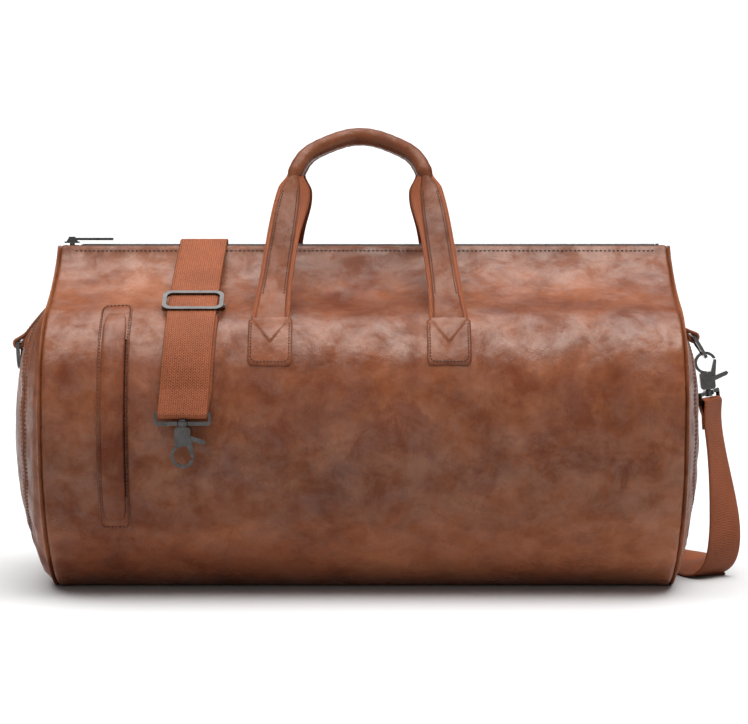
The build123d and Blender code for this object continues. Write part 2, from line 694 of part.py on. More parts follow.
with BuildPart() as strap_return_layer:
    add(shell(strap_section, STRAP_LOW, STRAP, RETURN_IN, RETURN_OUT))
    with Locations((STRAP_X, 0, LAST_HELD_Z)):
        Box(
            STRAP,
            2 * SECTION_R,
            slide_z - LAST_HELD_Z - 2.5,
            align=(Align.CENTER, Align.MAX, Align.MIN),
            mode=Mode.INTERSECT,
        )
    extrude(lean_out(RETURN_IN, RETURN_OUT, front_bar()[0] + LOOP_IN + 1.6), STRAP)
save(strap_return_layer, "strap_return_layer")

with BuildPart() as strap_front_fold:
    with Locations((FRONT_SWIVEL[0], *front_bar())):
        Cylinder(LOOP_OUT, STRAP, rotation=(0, 90, 0))
        Cylinder(LOOP_IN, STRAP, rotation=(0, 90, 0), mode=Mode.SUBTRACT)
        Box(STRAP, 2 * LOOP_OUT, LOOP_OUT, align=(Align.CENTER, Align.CENTER, Align.MIN), mode=Mode.SUBTRACT)
save(strap_front_fold, "strap_front_fold")

# slide adjuster: flat frame over the strap, loose bar under it
FRAME_LOW = STRAP_OUT + 0.4
FRAME = 2.4
BAR_R = 1.2
CHEEK_X = 21.6
with BuildPart() as slide_frame:
    with BuildSketch(Plane.XY.offset(FRAME_LOW)):
        RectangleRounded(46.5, 25, 6.5)
        RectangleRounded(40.4, 18.6, 4.5, mode=Mode.SUBTRACT)
    extrude(amount=FRAME)
    with Locations((-CHEEK_X, 0, -0.2), (CHEEK_X, 0, -0.2)):
        Box(2.6, 6, FRAME_LOW + 1, align=(Align.CENTER, Align.CENTER, Align.MIN))
    with Locations((0, 0, BAR_R)):
        Cylinder(BAR_R + 0.06, 60, rotation=(0, 90, 0), mode=Mode.SUBTRACT)
save_at(slide_frame, slide_plane, "strap_slide_frame")

with BuildPart() as slide_bar:
    with Locations((0, 0, BAR_R)):
        Cylinder(BAR_R, 47, rotation=(0, 90, 0))
        with Locations((23.6, 0, 0), (-23.6, 0, 0)):
            Cylinder(2.1, 1.2, rotation=(0, 90, 0))
save_at(slide_bar, slide_plane, "strap_slide_bar")

# the rest of the strap: up the back from the floor, along the floor, up to the right hook
FLOOR_GAP = 0.3
FLOOR_Y = 104.0
FLOOR_BEND = 7.0
FLOOR_ROUTE = [(274, 2), (271, 20), (268, 45), (252, 84), (212, FLOOR_Y), (STRAP_X + STRAP / 2, FLOOR_Y)]
SIDE_ROUTE = [(0.0, -6.4), (10.0, -46.0), (22.0, -92.0), (14.0, -128.0), (3.6, -138.6)]

with BuildPart() as strap_back_rise:
    add(shell(strap_section, STRAP_LOW, STRAP, STRAP_IN, STRAP_OUT))
    with Locations((STRAP_X, ARCH_HALF, SECTION_C[1])):
        Box(STRAP, SECTION_R, SECTION_R, align=(Align.CENTER, Align.MIN, Align.MIN), mode=Mode.INTERSECT)
    with BuildSketch(Plane.YZ.offset(STRAP_LOW)):
        with BuildLine() as rise:
            low = FLOOR_GAP + 1.5 * WEB + 0.3
            FilletPolyline(
                (FLOOR_Y - STRAP / 2, low),
                (BACK_ROUTE, low),
                (BACK_ROUTE, SECTION_C[1]),
                radius=FLOOR_BEND,
            )
        trace(rise.line, WEB)
    extrude(amount=STRAP)
save(strap_back_rise, "strap_back_rise")

with BuildPart() as strap_floor_run:
    with BuildSketch(Plane.XY.offset(FLOOR_GAP)):
        with BuildLine() as run:
            Polyline(*FLOOR_ROUTE, (STRAP_LOW, FLOOR_Y))
        trace(run.line, STRAP)
    extrude(amount=WEB)
save(strap_floor_run, "strap_floor_run")

right_seat = HOOK_SEATS["right"]
bar = [start + BAIL_BAR * step for start, step in zip(RIGHT_SWIVEL, hang)]
twist = radians(BAIL_TWIST)
bail_direction = right_seat.x_dir * cos(twist) + right_seat.y_dir * sin(twist)
bulge = (sin(radians(-BAIL_TWIST)), -cos(radians(-BAIL_TWIST)), 0)
side_plane = Plane(origin=bar, x_dir=bulge, z_dir=Vector(*bulge).cross(Vector(0, 0, 1)))
with BuildPart() as side_drop:
    with BuildSketch():
        with BuildLine() as drop:
            FilletPolyline(*SIDE_ROUTE, radius=[60, 45, 16])
        trace(drop.line, WEB)
    extrude(amount=STRAP / 2, both=True)
save_at(side_drop, side_plane, "strap_side_drop")

with BuildPart() as side_fold:
    Cylinder(LOOP_OUT, STRAP)
    Cylinder(LOOP_IN, STRAP, mode=Mode.SUBTRACT)
save_at(side_fold, Plane(origin=bar, z_dir=bail_direction), "strap_side_fold")
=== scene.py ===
import json
import math

import bmesh
import bpy
import numpy as np
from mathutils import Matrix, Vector, noise

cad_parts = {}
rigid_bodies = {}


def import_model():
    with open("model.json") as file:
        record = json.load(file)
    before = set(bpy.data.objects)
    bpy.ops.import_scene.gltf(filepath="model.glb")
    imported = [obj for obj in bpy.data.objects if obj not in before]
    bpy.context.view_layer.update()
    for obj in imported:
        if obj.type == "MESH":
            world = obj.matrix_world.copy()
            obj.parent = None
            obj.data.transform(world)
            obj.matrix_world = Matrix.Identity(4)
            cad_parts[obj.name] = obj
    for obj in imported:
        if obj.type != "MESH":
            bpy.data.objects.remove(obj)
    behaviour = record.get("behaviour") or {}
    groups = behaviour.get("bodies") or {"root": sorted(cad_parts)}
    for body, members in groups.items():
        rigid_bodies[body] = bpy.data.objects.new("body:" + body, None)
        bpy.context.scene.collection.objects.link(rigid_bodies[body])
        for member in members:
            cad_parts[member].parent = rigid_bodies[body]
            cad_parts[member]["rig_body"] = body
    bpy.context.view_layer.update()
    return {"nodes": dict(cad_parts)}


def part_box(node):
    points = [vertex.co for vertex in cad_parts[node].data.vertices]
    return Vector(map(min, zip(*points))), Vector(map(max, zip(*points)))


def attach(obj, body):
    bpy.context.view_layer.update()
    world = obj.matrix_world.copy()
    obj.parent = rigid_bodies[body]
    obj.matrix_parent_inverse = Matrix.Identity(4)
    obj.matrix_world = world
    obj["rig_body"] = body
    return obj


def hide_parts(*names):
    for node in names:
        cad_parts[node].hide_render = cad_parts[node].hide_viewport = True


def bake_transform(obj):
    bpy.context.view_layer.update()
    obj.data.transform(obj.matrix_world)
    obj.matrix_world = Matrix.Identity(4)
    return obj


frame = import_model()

MM = 0.001
SCENE = bpy.context.scene

# ---- driving dimensions, millimetres, as in the CAD model ----
SECTION_R, SECTION_C = 141.0, (0.0, 135.0)
SHOULDER_START, SHOULDER_R, SHOULDER_END = 16.0, 70.6, 73.2
HOLLOW_R = 209.0
RIDGE_HALF, RIDGE_TOP, LIP = 13.5, 268.0, 5.0
DOME_Z, DOME_RIM_R = 125.0, 143.0
SHOE_ZIP_R = 100.0
PATCH_LOW, PATCH_HIGH = 181.0, 212.0
WRAP_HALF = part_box("body_wrap")[1].x / MM
CAP_START = abs(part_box("left_end_gusset")[1].x) / MM
LEFT_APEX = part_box("left_end_panel")[0].x / MM
RIGHT_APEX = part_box("right_end_panel")[1].x / MM


# ================= camera, floor and light =================
CAMERA_PLACE, CAMERA_TARGET = (0.008, -2.0, 0.30), (0.008, 0.0, 0.1745)
FLOOR_HALF = 30.0
# world brightness: (axis of the direction, from, to, level below, level above)
SKY = ("Z", 0.66, 0.92, 0.17, 6.0)
BACKDROP = ("Y", 0.94, 0.975, 0.0, 1.2)
REAR_SHADE = ("Y", 0.05, 0.7, 1.0, 0.35)


def add_camera():
    """Long lens at the height of the handles, looking slightly down at the front."""
    data = bpy.data.cameras.new("camera")
    data.lens, data.sensor_width = 120.1, 36.0
    camera = bpy.data.objects.new("camera", data)
    SCENE.collection.objects.link(camera)
    camera.location = CAMERA_PLACE
    aim = Vector(CAMERA_TARGET) - camera.location
    camera.rotation_euler = aim.to_track_quat("-Z", "Y").to_euler()
    SCENE.camera = camera


def add_area(name, place, target, size, power):
    """Soft box at a place, turned to a target."""
    data = bpy.data.lights.new(name, "AREA")
    data.shape = "RECTANGLE"
    data.size, data.size_y = size
    data.energy = power
    lamp = bpy.data.objects.new(name, data)
    SCENE.collection.objects.link(lamp)
    lamp.location = place
    lamp.rotation_euler = (Vector(target) - Vector(place)).to_track_quat("-Z", "Y").to_euler()


def add_stage():
    """White sweep, pale world and soft boxes."""
    data = bpy.data.meshes.new("floor")
    corners = [(x * FLOOR_HALF, y * FLOOR_HALF, 0) for x, y in ((-1, -1), (1, -1), (1, 1), (-1, 1))]
    data.from_pydata(corners, [], [(0, 1, 2, 3)])
    floor = bpy.data.objects.new("floor", data)
    SCENE.collection.objects.link(floor)
    paper = bpy.data.materials.new("paper")
    paper.use_nodes = True
    shader = paper.node_tree.nodes["Principled BSDF"]
    shader.inputs["Base Color"].default_value = (0.56, 0.56, 0.56, 1)
    shader.inputs["Roughness"].default_value = 0.9
    shader.inputs["Specular IOR Level"].default_value = 0.1
    data.materials.append(paper)
    world = bpy.data.worlds.new("studio")
    SCENE.world = world
    world.use_nodes = True
    tree = world.node_tree
    view = tree.nodes.new("ShaderNodeTexCoord").outputs["Generated"]
    parts = tree.nodes.new("ShaderNodeSeparateXYZ")
    tree.links.new(view, parts.inputs["Vector"])
    levels = []
    for axis, low, high, dim, bright in (SKY, BACKDROP, REAR_SHADE):
        level = tree.nodes.new("ShaderNodeMapRange")
        level.interpolation_type = "SMOOTHSTEP"
        tree.links.new(parts.outputs[axis], level.inputs["Value"])
        for key, value in (("From Min", low), ("From Max", high), ("To Min", dim), ("To Max", bright)):
            level.inputs[key].default_value = value
        levels.append(level.outputs["Result"])
    shaded, total = (tree.nodes.new("ShaderNodeMath") for _ in range(2))
    shaded.operation, total.operation = "MULTIPLY", "MAXIMUM"
    sky, backdrop, shade = levels
    tree.links.new(sky, shaded.inputs[0])
    tree.links.new(shade, shaded.inputs[1])
    tree.links.new(shaded.outputs[0], total.inputs[0])
    tree.links.new(backdrop, total.inputs[1])
    tree.links.new(total.outputs[0], tree.nodes["Background"].inputs["Strength"])
    tree.nodes["Background"].inputs["Color"].default_value = (1.0, 1.0, 1.0, 1)
    add_area("overhead_box", (0.5, -0.6, 1.6), (0.1, -0.05, 0.2), (1.3, 0.6), 7)
    add_area("front_fill", (-0.5, -2.6, 1.1), (0, 0, 0.15), (1.6, 1.0), 7.5)
    SCENE.view_settings.view_transform = "Standard"


# ================= mesh helpers =================
def link(name, mesh, body):
    """Makes an object of a mesh and lets it ride on a body."""
    thing = bpy.data.objects.new(name, mesh)
    SCENE.collection.objects.link(thing)
    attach(thing, body)
    return thing


def grid(name, rows, body, material, closed=False, thick=0.0, cap=False):
    """Surface through rows of points in millimetres, with a UV in metres along and across."""
    rows = np.asarray(rows, float) * MM
    count, width = rows.shape[:2]
    mesh = bpy.data.meshes.new(name)
    faces = []
    last = width if closed else width - 1
    for i in range(count - 1):
        for j in range(last):
            k = (j + 1) % width
            faces.append((i * width + j, i * width + k, (i + 1) * width + k, (i + 1) * width + j))
    if cap:
        faces.append(tuple(reversed(range(width))))
        faces.append(tuple((count - 1) * width + j for j in range(width)))
    mesh.from_pydata(rows.reshape(-1, 3).tolist(), [], faces)
    across = np.zeros((count, width))
    across[:, 1:] = np.cumsum(np.linalg.norm(np.diff(rows, axis=1), axis=2), axis=1)
    along = np.zeros((count, width))
    along[1:] = np.cumsum(np.linalg.norm(np.diff(rows, axis=0), axis=2), axis=0)
    layer = mesh.uv_layers.new(name="run")
    flat = np.stack([across.ravel(), along.ravel()], axis=1)
    index = np.zeros(len(mesh.loops), int)
    mesh.loops.foreach_get("vertex_index", index)
    layer.data.foreach_set("uv", flat[index].ravel())
    mesh.validate()
    mesh.shade_smooth()
    mesh.materials.append(material)
    thing = link(name, mesh, body)
    if thick:
        shell = thing.modifiers.new("thickness", "SOLIDIFY")
        shell.thickness, shell.offset = thick * MM, -1
        shell.use_even_offset = False
    return thing


def heading(points, k):
    """Direction of a line at one of its points, not normalized."""
    return points[min(k + 1, len(points) - 1)] - points[max(k - 1, 0)]


def tube(name, line, radii, body, material, sides):
    """Round tube along a line of points in millimetres, with a radius at each."""
    rows = []
    side = None
    for i, point in enumerate(line):
        ahead = heading(line, i).normalized()
        if side is None:
            side = ahead.orthogonal().normalized()
        side = (side - ahead * side.dot(ahead)).normalized()
        other = ahead.cross(side)
        turn = [2 * math.pi * j / sides for j in range(sides)]
        rows.append([tuple(point + (side * math.cos(a) + other * math.sin(a)) * radii[i]) for a in turn])
    return grid(name, rows, body, material, closed=True, cap=True)


def spaced(points, pitch, least=0):
    """Evenly placed spots along a line, about a pitch apart: (span, share of the span, spot)."""
    lengths = np.concatenate([[0], np.cumsum([(b - a).length for a, b in zip(points, points[1:])])])
    count = max(least, int(lengths[-1] / pitch))
    for k in range(count):
        place = (k + 0.5) * lengths[-1] / count
        i = min(int(np.searchsorted(lengths, place, side="right")) - 1, len(points) - 2)
        share = (place - lengths[i]) / max(lengths[i + 1] - lengths[i], 1e-9)
        yield i, share, points[i].lerp(points[i + 1], share)


def beads(name, places, length, radius, lift, body, material):
    """One piece of many small rounded beads, each at (centre, long axis, wide axis, up)."""
    mesh = bpy.data.meshes.new(name)
    build = bmesh.new()
    for centre, long, wide, up in places:
        for v in bmesh.ops.create_icosphere(build, subdivisions=1, radius=1.0)["verts"]:
            x, y, z = v.co
            v.co = (centre + long * (x * length / 2) + wide * (y * radius) + up * (z * radius + lift)) * MM
    build.to_mesh(mesh)
    build.free()
    mesh.shade_smooth()
    mesh.materials.append(material)
    return link(name, mesh, body)


def stitches(name, lines, body, pitch=3.4, length=2.5, lift=0.2):
    """Rows of thread: one short bead per stitch along lines of (point, outward normal)."""
    places = []
    for line in lines:
        points = [Vector(p) for p, _ in line]
        normals = [Vector(n).normalized() for _, n in line]
        for i, share, centre in spaced(points, pitch, 1):
            up = normals[i].lerp(normals[i + 1], share).normalized()
            ahead = (points[i + 1] - points[i]).normalized()
            across = up.cross(ahead).normalized()
            places.append((centre, ahead, across, ahead.cross(across)))
    return beads(name, places, length, 0.5, lift, body, THREAD)


# ================= materials =================
class Nodes:
    """Small helper that adds and joins the nodes of one material."""

    def __init__(self, name):
        self.material = bpy.data.materials.new(name)
        self.material.use_nodes = True
        self.tree = self.material.node_tree
        self.shader = self.tree.nodes["Principled BSDF"]
        self.place = self.add("ShaderNodeTexCoord").outputs["Object"]

    def add(self, kind, **inputs):
        node = self.tree.nodes.new(kind)
        for key, value in inputs.items():
            self.set(node.inputs[key.replace("_", " ")], value)
        return node

    def set(self, socket, value):
        if isinstance(value, bpy.types.NodeSocket):
            self.tree.links.new(value, socket)
        else:
            socket.default_value = value

    def surface(self, socket, value):
        self.set(self.shader.inputs[socket], value)

    def noise(self, scale, detail=4.0, rough=0.55, distort=0.0, vector=None):
        node = self.add("ShaderNodeTexNoise", Scale=scale, Detail=detail, Roughness=rough, Distortion=distort)
        self.set(node.inputs["Vector"], vector or self.place)
        return node.outputs["Fac"]

    def cells(self, scale, vector):
        return self.add("ShaderNodeTexVoronoi", Scale=scale, Vector=vector).outputs["Distance"]

    def ramp(self, value, stops):
        node = self.add("ShaderNodeValToRGB", Fac=value)
        ramp = node.color_ramp
        while len(ramp.elements) < len(stops):
            ramp.elements.new(0.5)
        for element, (place, colour) in zip(ramp.elements, stops):
            element.position = place
            element.color = (*colour, 1) if hasattr(colour, "__len__") else (colour,) * 3 + (1,)
        return node.outputs["Color"]

    def math(self, kind, a, b=0.0):
        node = self.add("ShaderNodeMath")
        node.operation = kind
        self.set(node.inputs[0], a)
        self.set(node.inputs[1], b)
        return node.outputs[0]

    def sum(self, a, a_share, b, b_share):
        return self.math("ADD", self.math("MULTIPLY", a, a_share), self.math("MULTIPLY", b, b_share))

    def wave(self, value, pitch):
        return self.math("SINE", self.math("MULTIPLY", value, 2 * math.pi / pitch))

    def mix(self, share, a, b, kind="MIX"):
        node = self.add("ShaderNodeMix")
        node.data_type, node.blend_type = "RGBA", kind
        self.set(node.inputs["Factor"], share)
        self.set(node.inputs["A"], a if isinstance(a, bpy.types.NodeSocket) else (*a, 1))
        self.set(node.inputs["B"], b if isinstance(b, bpy.types.NodeSocket) else (*b, 1))
        return node.outputs["Result"]

    def bump(self, height, strength, distance, below=None):
        node = self.add("ShaderNodeBump", Height=height, Strength=strength, Distance=distance)
        if below is not None:
            self.set(node.inputs["Normal"], below)
        return node.outputs["Normal"]


BROWN_DARK, BROWN, BROWN_PALE = (0.09, 0.023, 0.0095), (0.15, 0.046, 0.019), (0.22, 0.078, 0.036)
HEIGHT_SCALE = 3.0  # brings the height of the bag in metres to 0..1 for a ramp
STAIN_BAND = [(0.12, 0.05), (0.3, 0.62), (0.5, 0.62), (0.64, 0.08)]
# painted light and shade by height, as (height share, brightness): the base painted lighter, painted shade
# across the middle, a painted highlight band on the shoulder and painted shade at the ridge
PAINTED_LIGHT_BANDS = [
    (0.0, 1.0), (0.1, 0.88), (0.2, 0.58), (0.3, 0.5), (0.42, 0.56),
    (0.52, 0.66), (0.61, 0.58), (0.7, 0.7), (0.8, 0.47),
]
# overall gain of the painted light and shade by height
PAINTED_LIGHT_GAIN = 1.7


def leather(name, mid=BROWN, pale=BROWN_PALE, seed=0.0, shine=1.0):
    """Glossy pull-up leather: cloudy mottling, reddish stains, fine grain, patches of wax, and painted light
    and shade in bands by height.
    """
    n = Nodes(name)
    dark = BROWN_DARK
    shift = n.add("ShaderNodeMapping", Vector=n.place, Location=(seed, seed * 0.7, -seed))
    spot = shift.outputs["Vector"]
    clouds = n.noise(6.0, 3.0, 0.5, 0.1, spot)
    blotch = n.noise(30.0, 6.0, 0.62, 0.25, spot)
    marble = n.noise(150.0, 5.0, 0.65, 0.3, spot)
    base = n.ramp(n.sum(clouds, 0.45, blotch, 0.55), [(0.36, dark), (0.5, mid), (0.66, pale)])
    flecks = n.ramp(marble, [(0.3, 0.84), (0.5, 1.0), (0.72, 1.1)])
    colour = n.mix(0.8, base, flecks, "MULTIPLY")
    patches = n.ramp(n.noise(24.0, 7.0, 0.66, 0.5, spot), [(0.5, 0.0), (0.6, 1.0)])
    height = n.add("ShaderNodeSeparateXYZ", Vector=n.place).outputs["Z"]
    level = n.math("MULTIPLY", height, HEIGHT_SCALE)
    stain = n.math("MULTIPLY", patches, n.ramp(level, STAIN_BAND))
    colour = n.mix(stain, colour, (dark[0] * 1.02, dark[1] * 0.85, dark[2] * 0.8))
    # painted light and shade: the colour is multiplied by a brightness that follows the height
    painted_light_by_height = n.math("MULTIPLY", n.ramp(level, PAINTED_LIGHT_BANDS), PAINTED_LIGHT_GAIN)
    n.surface("Base Color", n.mix(1.0, colour, painted_light_by_height, "MULTIPLY"))
    gloss = n.noise(38.0, 6.0, 0.7, 0.6, spot)
    n.surface("Roughness", n.ramp(gloss, [(0.3, 0.22), (0.72, 0.46)]))
    grain = n.bump(n.cells(1100.0, spot), 0.16, 0.0003)
    creases = n.bump(n.noise(120.0, 7.0, 0.7, 0.6, spot), 0.3, 0.0011, grain)
    n.surface("Normal", n.bump(n.noise(30.0, 4.0, 0.55, 0.3, spot), 0.3, 0.0036, creases))
    wax = n.ramp(n.noise(46.0, 7.0, 0.68, 0.4, spot), [(0.4, 0.12 * shine), (0.62, 0.5 * shine)])
    n.surface("Specular IOR Level", wax)
    n.surface("Specular Tint", (1.0, 0.88, 0.8, 1))
    return n.material


ZIGZAG, YARN, COLUMN = 0.0031, 0.0021, 0.0016


def webbing(name, dark, pale):
    """Nylon webbing: a herringbone of raised yarns across the band, from its UV run."""
    n = Nodes(name)
    run = n.add("ShaderNodeUVMap")
    run.uv_map = "run"
    parts = n.add("ShaderNodeSeparateXYZ", Vector=run.outputs["UV"])
    across, along = parts.outputs["X"], parts.outputs["Y"]
    slant = n.math("ADD", along, n.math("PINGPONG", across, ZIGZAG))
    height = n.sum(n.wave(slant, YARN), 0.5, n.wave(across, COLUMN), 0.3)
    lift = n.math("ADD", n.math("MULTIPLY", height, 0.5), 0.5)
    fuzz = n.noise(620.0, 4.0, 0.7)
    shade = n.sum(lift, 0.5, fuzz, 0.5)
    colour = n.ramp(shade, [(0.3, dark), (0.68, pale)])
    wear = n.ramp(n.noise(26.0, 4.0), [(0.35, 0.85), (0.7, 1.08)])
    n.surface("Base Color", n.mix(1.0, colour, wear, "MULTIPLY"))
    n.surface("Roughness", n.ramp(fuzz, [(0.3, 0.55), (0.7, 0.75)]))
    n.surface("Normal", n.bump(shade, 0.65, 0.0005))
    n.surface("Specular IOR Level", 0.12)
    return n.material


def gunmetal(name, pale=(0.06, 0.056, 0.053), dark=(0.035, 0.032, 0.03)):
    """Dark polished nickel with faint handling marks."""
    n = Nodes(name)
    n.surface("Base Color", n.ramp(n.noise(160.0, 4.0, 0.6, 0.4), [(0.35, dark), (0.65, pale)]))
    n.surface("Roughness", n.ramp(n.noise(300.0, 4.0, 0.6), [(0.3, 0.2), (0.7, 0.3)]))
    n.surface("Normal", n.bump(n.noise(500.0, 3.0), 0.04, 0.0002))
    n.surface("Metallic", 1.0)
    n.surface("Coat Weight", 0.6)
    n.surface("Coat Roughness", 0.06)
    return n.material


def woven(name, dark, pale, pitch=0.0009):
    """Plain woven cloth for linings and zip tapes."""
    n = Nodes(name)
    parts = n.add("ShaderNodeSeparateXYZ", Vector=n.place)
    warp = n.wave(parts.outputs["X"], pitch)
    weft = n.wave(n.math("ADD", parts.outputs["Y"], parts.outputs["Z"]), pitch)
    height = n.math("ADD", n.math("MULTIPLY", n.math("MULTIPLY", warp, weft), 0.4), 0.5)
    tone = n.sum(height, 0.6, n.noise(300.0), 0.4)
    n.surface("Base Color", n.ramp(tone, [(0.25, dark), (0.75, pale)]))
    n.surface("Normal", n.bump(height, 0.5, 0.0003))
    n.surface("Roughness", n.ramp(n.noise(200.0), [(0.3, 0.77), (0.7, 0.85)]))
    return n.material


def thread(name, dark, pale):
    """Twisted sewing thread."""
    n = Nodes(name)
    twist = n.noise(2200.0, 2.0, 0.5)
    n.surface("Base Color", n.ramp(twist, [(0.3, dark), (0.7, pale)]))
    n.surface("Normal", n.bump(twist, 0.4, 0.0002))
    n.surface("Roughness", n.ramp(twist, [(0.3, 0.5), (0.7, 0.65)]))
    return n.material


add_camera()
add_stage()
LEATHER = leather("leather_brown")
LEATHER_END = leather("leather_ends", seed=3.1, shine=0.25)
LEATHER_TRIM = leather("leather_trim", (0.14, 0.042, 0.018), (0.19, 0.064, 0.03), seed=7.7, shine=0.8)
LEATHER_GRIP = leather("leather_grip", (0.135, 0.04, 0.017), (0.18, 0.06, 0.028), seed=12.3, shine=0.6)
WEBBING = webbing("webbing_rust", (0.09, 0.02, 0.008), (0.31, 0.096, 0.041))
METAL = gunmetal("gunmetal")
TAPE = woven("zip_tape", (0.008, 0.007, 0.007), (0.03, 0.027, 0.026))
TEETH = gunmetal("zip_teeth", (0.07, 0.065, 0.065), (0.03, 0.03, 0.03))
CLOTH = woven("lining_cloth", (0.02, 0.017, 0.016), (0.055, 0.048, 0.045), 0.0012)
THREAD = thread("thread_brown", (0.016, 0.005, 0.003), (0.05, 0.017, 0.009))


# ================= the body's cross-section =================
def unit(angle):
    """Cosine and sine of an angle in degrees."""
    return math.cos(math.radians(angle)), math.sin(math.radians(angle))


def polar(centre, radius, angle):
    c, s = unit(angle)
    return (centre[0] + radius * c, centre[1] + radius * s)


def between(a, b, share):
    return tuple(p + (q - p) * share for p, q in zip(a, b))


SHOULDER_C = polar(SECTION_C, SECTION_R - SHOULDER_R, SHOULDER_START)
HOLLOW_C = polar(SHOULDER_C, SHOULDER_R + HOLLOW_R, SHOULDER_END)


def arc(centre, radius, start, end, step=1.0):
    count = max(3, int(abs(math.radians(end - start)) * radius / step))
    return [polar(centre, radius, a) for a in np.linspace(start, end, count)]


def half_outline():
    """Back half of the outline as (y, z), from the lip of the ridge zip down to the middle of the base."""
    turn = 2.5
    foot_z = HOLLOW_C[1] - math.sqrt(HOLLOW_R**2 - (HOLLOW_C[0] - RIDGE_HALF) ** 2)
    foot = math.degrees(math.atan2(foot_z - HOLLOW_C[1], RIDGE_HALF - HOLLOW_C[0]))
    base = math.degrees(math.asin(-SECTION_C[1] / SECTION_R))
    points = [(y, RIDGE_TOP) for y in np.linspace(LIP, RIDGE_HALF - turn, 8)]
    points += arc((RIDGE_HALF - turn, RIDGE_TOP - turn), turn, 90, 0, 0.5)[1:]
    points += arc(HOLLOW_C, HOLLOW_R, foot, SHOULDER_END - 180)
    points += arc(SHOULDER_C, SHOULDER_R, SHOULDER_END, SHOULDER_START)[1:]
    points += arc(SECTION_C, SECTION_R, SHOULDER_START, base)[1:]
    points += [(y, 0.0) for y in np.linspace(polar(SECTION_C, SECTION_R, base)[0], 0, 30)[1:]]
    return np.array(points)


def resample(points, count):
    """The same line with evenly spaced points."""
    points = np.asarray(points, float)
    steps = np.concatenate([[0], np.cumsum(np.linalg.norm(np.diff(points, axis=0), axis=1))])
    place = np.linspace(0, steps[-1], count)
    return np.stack([np.interp(place, steps, points[:, i]) for i in range(points.shape[1])], axis=1)


HALF_POINTS = 170
BACK_HALF = resample(half_outline(), HALF_POINTS)
for _ in range(3):
    BACK_HALF[3:-1] = (BACK_HALF[2:-2] + 2 * BACK_HALF[3:-1] + np.roll(BACK_HALF, -1, axis=0)[3:-1]) / 4
OUTLINE = np.concatenate([BACK_HALF * (-1, 1), BACK_HALF[-2::-1]])
RUN = np.concatenate([[0], np.cumsum(np.linalg.norm(np.diff(OUTLINE, axis=0), axis=1))])
ALONG = np.gradient(OUTLINE, RUN, axis=0)
OUTWARD = np.stack([ALONG[:, 1], -ALONG[:, 0]], axis=1)
OUTWARD /= np.linalg.norm(OUTWARD, axis=1)[:, None]
if OUTWARD[HALF_POINTS // 2][0] > 0:
    OUTWARD = -OUTWARD


def bell(value, middle, width):
    return math.exp(-(((value - middle) / width) ** 2))


def ease(value, low, high):
    share = min(1.0, max(0.0, (value - low) / (high - low)))
    return share * share * (3 - 2 * share)


HANDLE_MID, PATCH_X, PATCH_WIDE = -2.9, 67.5, 34.0


def slack(x, run):
    """How far the soft leather stands out from the plain section, in millimetres."""
    z = np.interp(run, RUN, OUTLINE[:, 1])
    free = ease(z, 6, 40) * ease(RIDGE_TOP - z, 2, 14) * (1 - 0.85 * bell(x, -131, 32))
    wave = noise.noise(Vector((x / 85.0, run / 62.0, 3.7))) * 1.5
    ripple = noise.noise(Vector((x / 30.0, run / 36.0, 9.1))) * 0.55
    edge = ease(abs(x), 175, 232)
    puckers = noise.noise(Vector((x / 60.0, run / 15.0, 5.3))) * 0.9 * edge
    pull = sum(bell(x, HANDLE_MID + side * PATCH_X, 30) for side in (-1, 1))
    pull *= bell(z, PATCH_HIGH + 6, 17) * 3.0
    slump = -2.2 * bell(abs(x), 0, 60) * bell(z, 232, 16)
    shoulder = -1.6 * bell(x, 150, 50) * bell(z, 236, 14) + 1.2 * bell(x, -165, 40) * bell(z, 226, 18)
    return free * (wave + ripple + puckers + pull + slump + shoulder)


def on_wrap(x, run, grow=0.0):
    """Point of the wrap's outside at x and at a distance along the outline from the front lip."""
    y, z, ny, nz = (np.interp(run, RUN, a) for a in (*OUTLINE.T, *OUTWARD.T))
    size = math.hypot(ny, nz)
    out = grow + slack(x, run)
    return (x, y + ny / size * out, z + nz / size * out)


def wrap_normal(x, run):
    """Outward direction of the wrap at x and a distance along the outline."""
    step = 1.5
    a = Vector(on_wrap(x + step, run)) - Vector(on_wrap(x - step, run))
    b = Vector(on_wrap(x, run + step)) - Vector(on_wrap(x, run - step))
    found = a.cross(b).normalized()
    flat = Vector((0, *(np.interp(run, RUN, OUTWARD[:, i]) for i in range(2))))
    return found if found.dot(flat) > 0 else -found


def run_at(z, side=-1):
    """Distance along the outline at which the front (-1) or the back (1) is at a height."""
    upper = slice(14, HALF_POINTS)
    heights = OUTLINE[:HALF_POINTS, 1][upper][::-1]
    place = float(np.interp(z, heights, RUN[:HALF_POINTS][upper][::-1]))
    return place if side < 0 else RUN[-1] - place


# ================= leather wrap =================
EDGE_ROLL = [
    (230.5, 0.3), (232.6, 0.5), (234.3, 0.3), (235.3, -0.3), (235.9, -1.3), (235.4, -2.3), (232.0, -2.9),
]
RIDGE_SEAM = 10.4  # from the lip, along the outline
FLAP = 5.2  # how far the front edge of the wrap reaches over the zip
POCKET_SLOT = (-184.4, -178.6)
POCKET_SPAN = (80.0, 200.0)


def flap(x, run):
    """Extra reach of the wrap's edge over the zip valley: all along the front, none along the back."""
    return math.copysign(FLAP, x) * ease(abs(x), 224, 233) * (1 - ease(run, RUN[-1] * 0.5, RUN[-1] * 0.56))


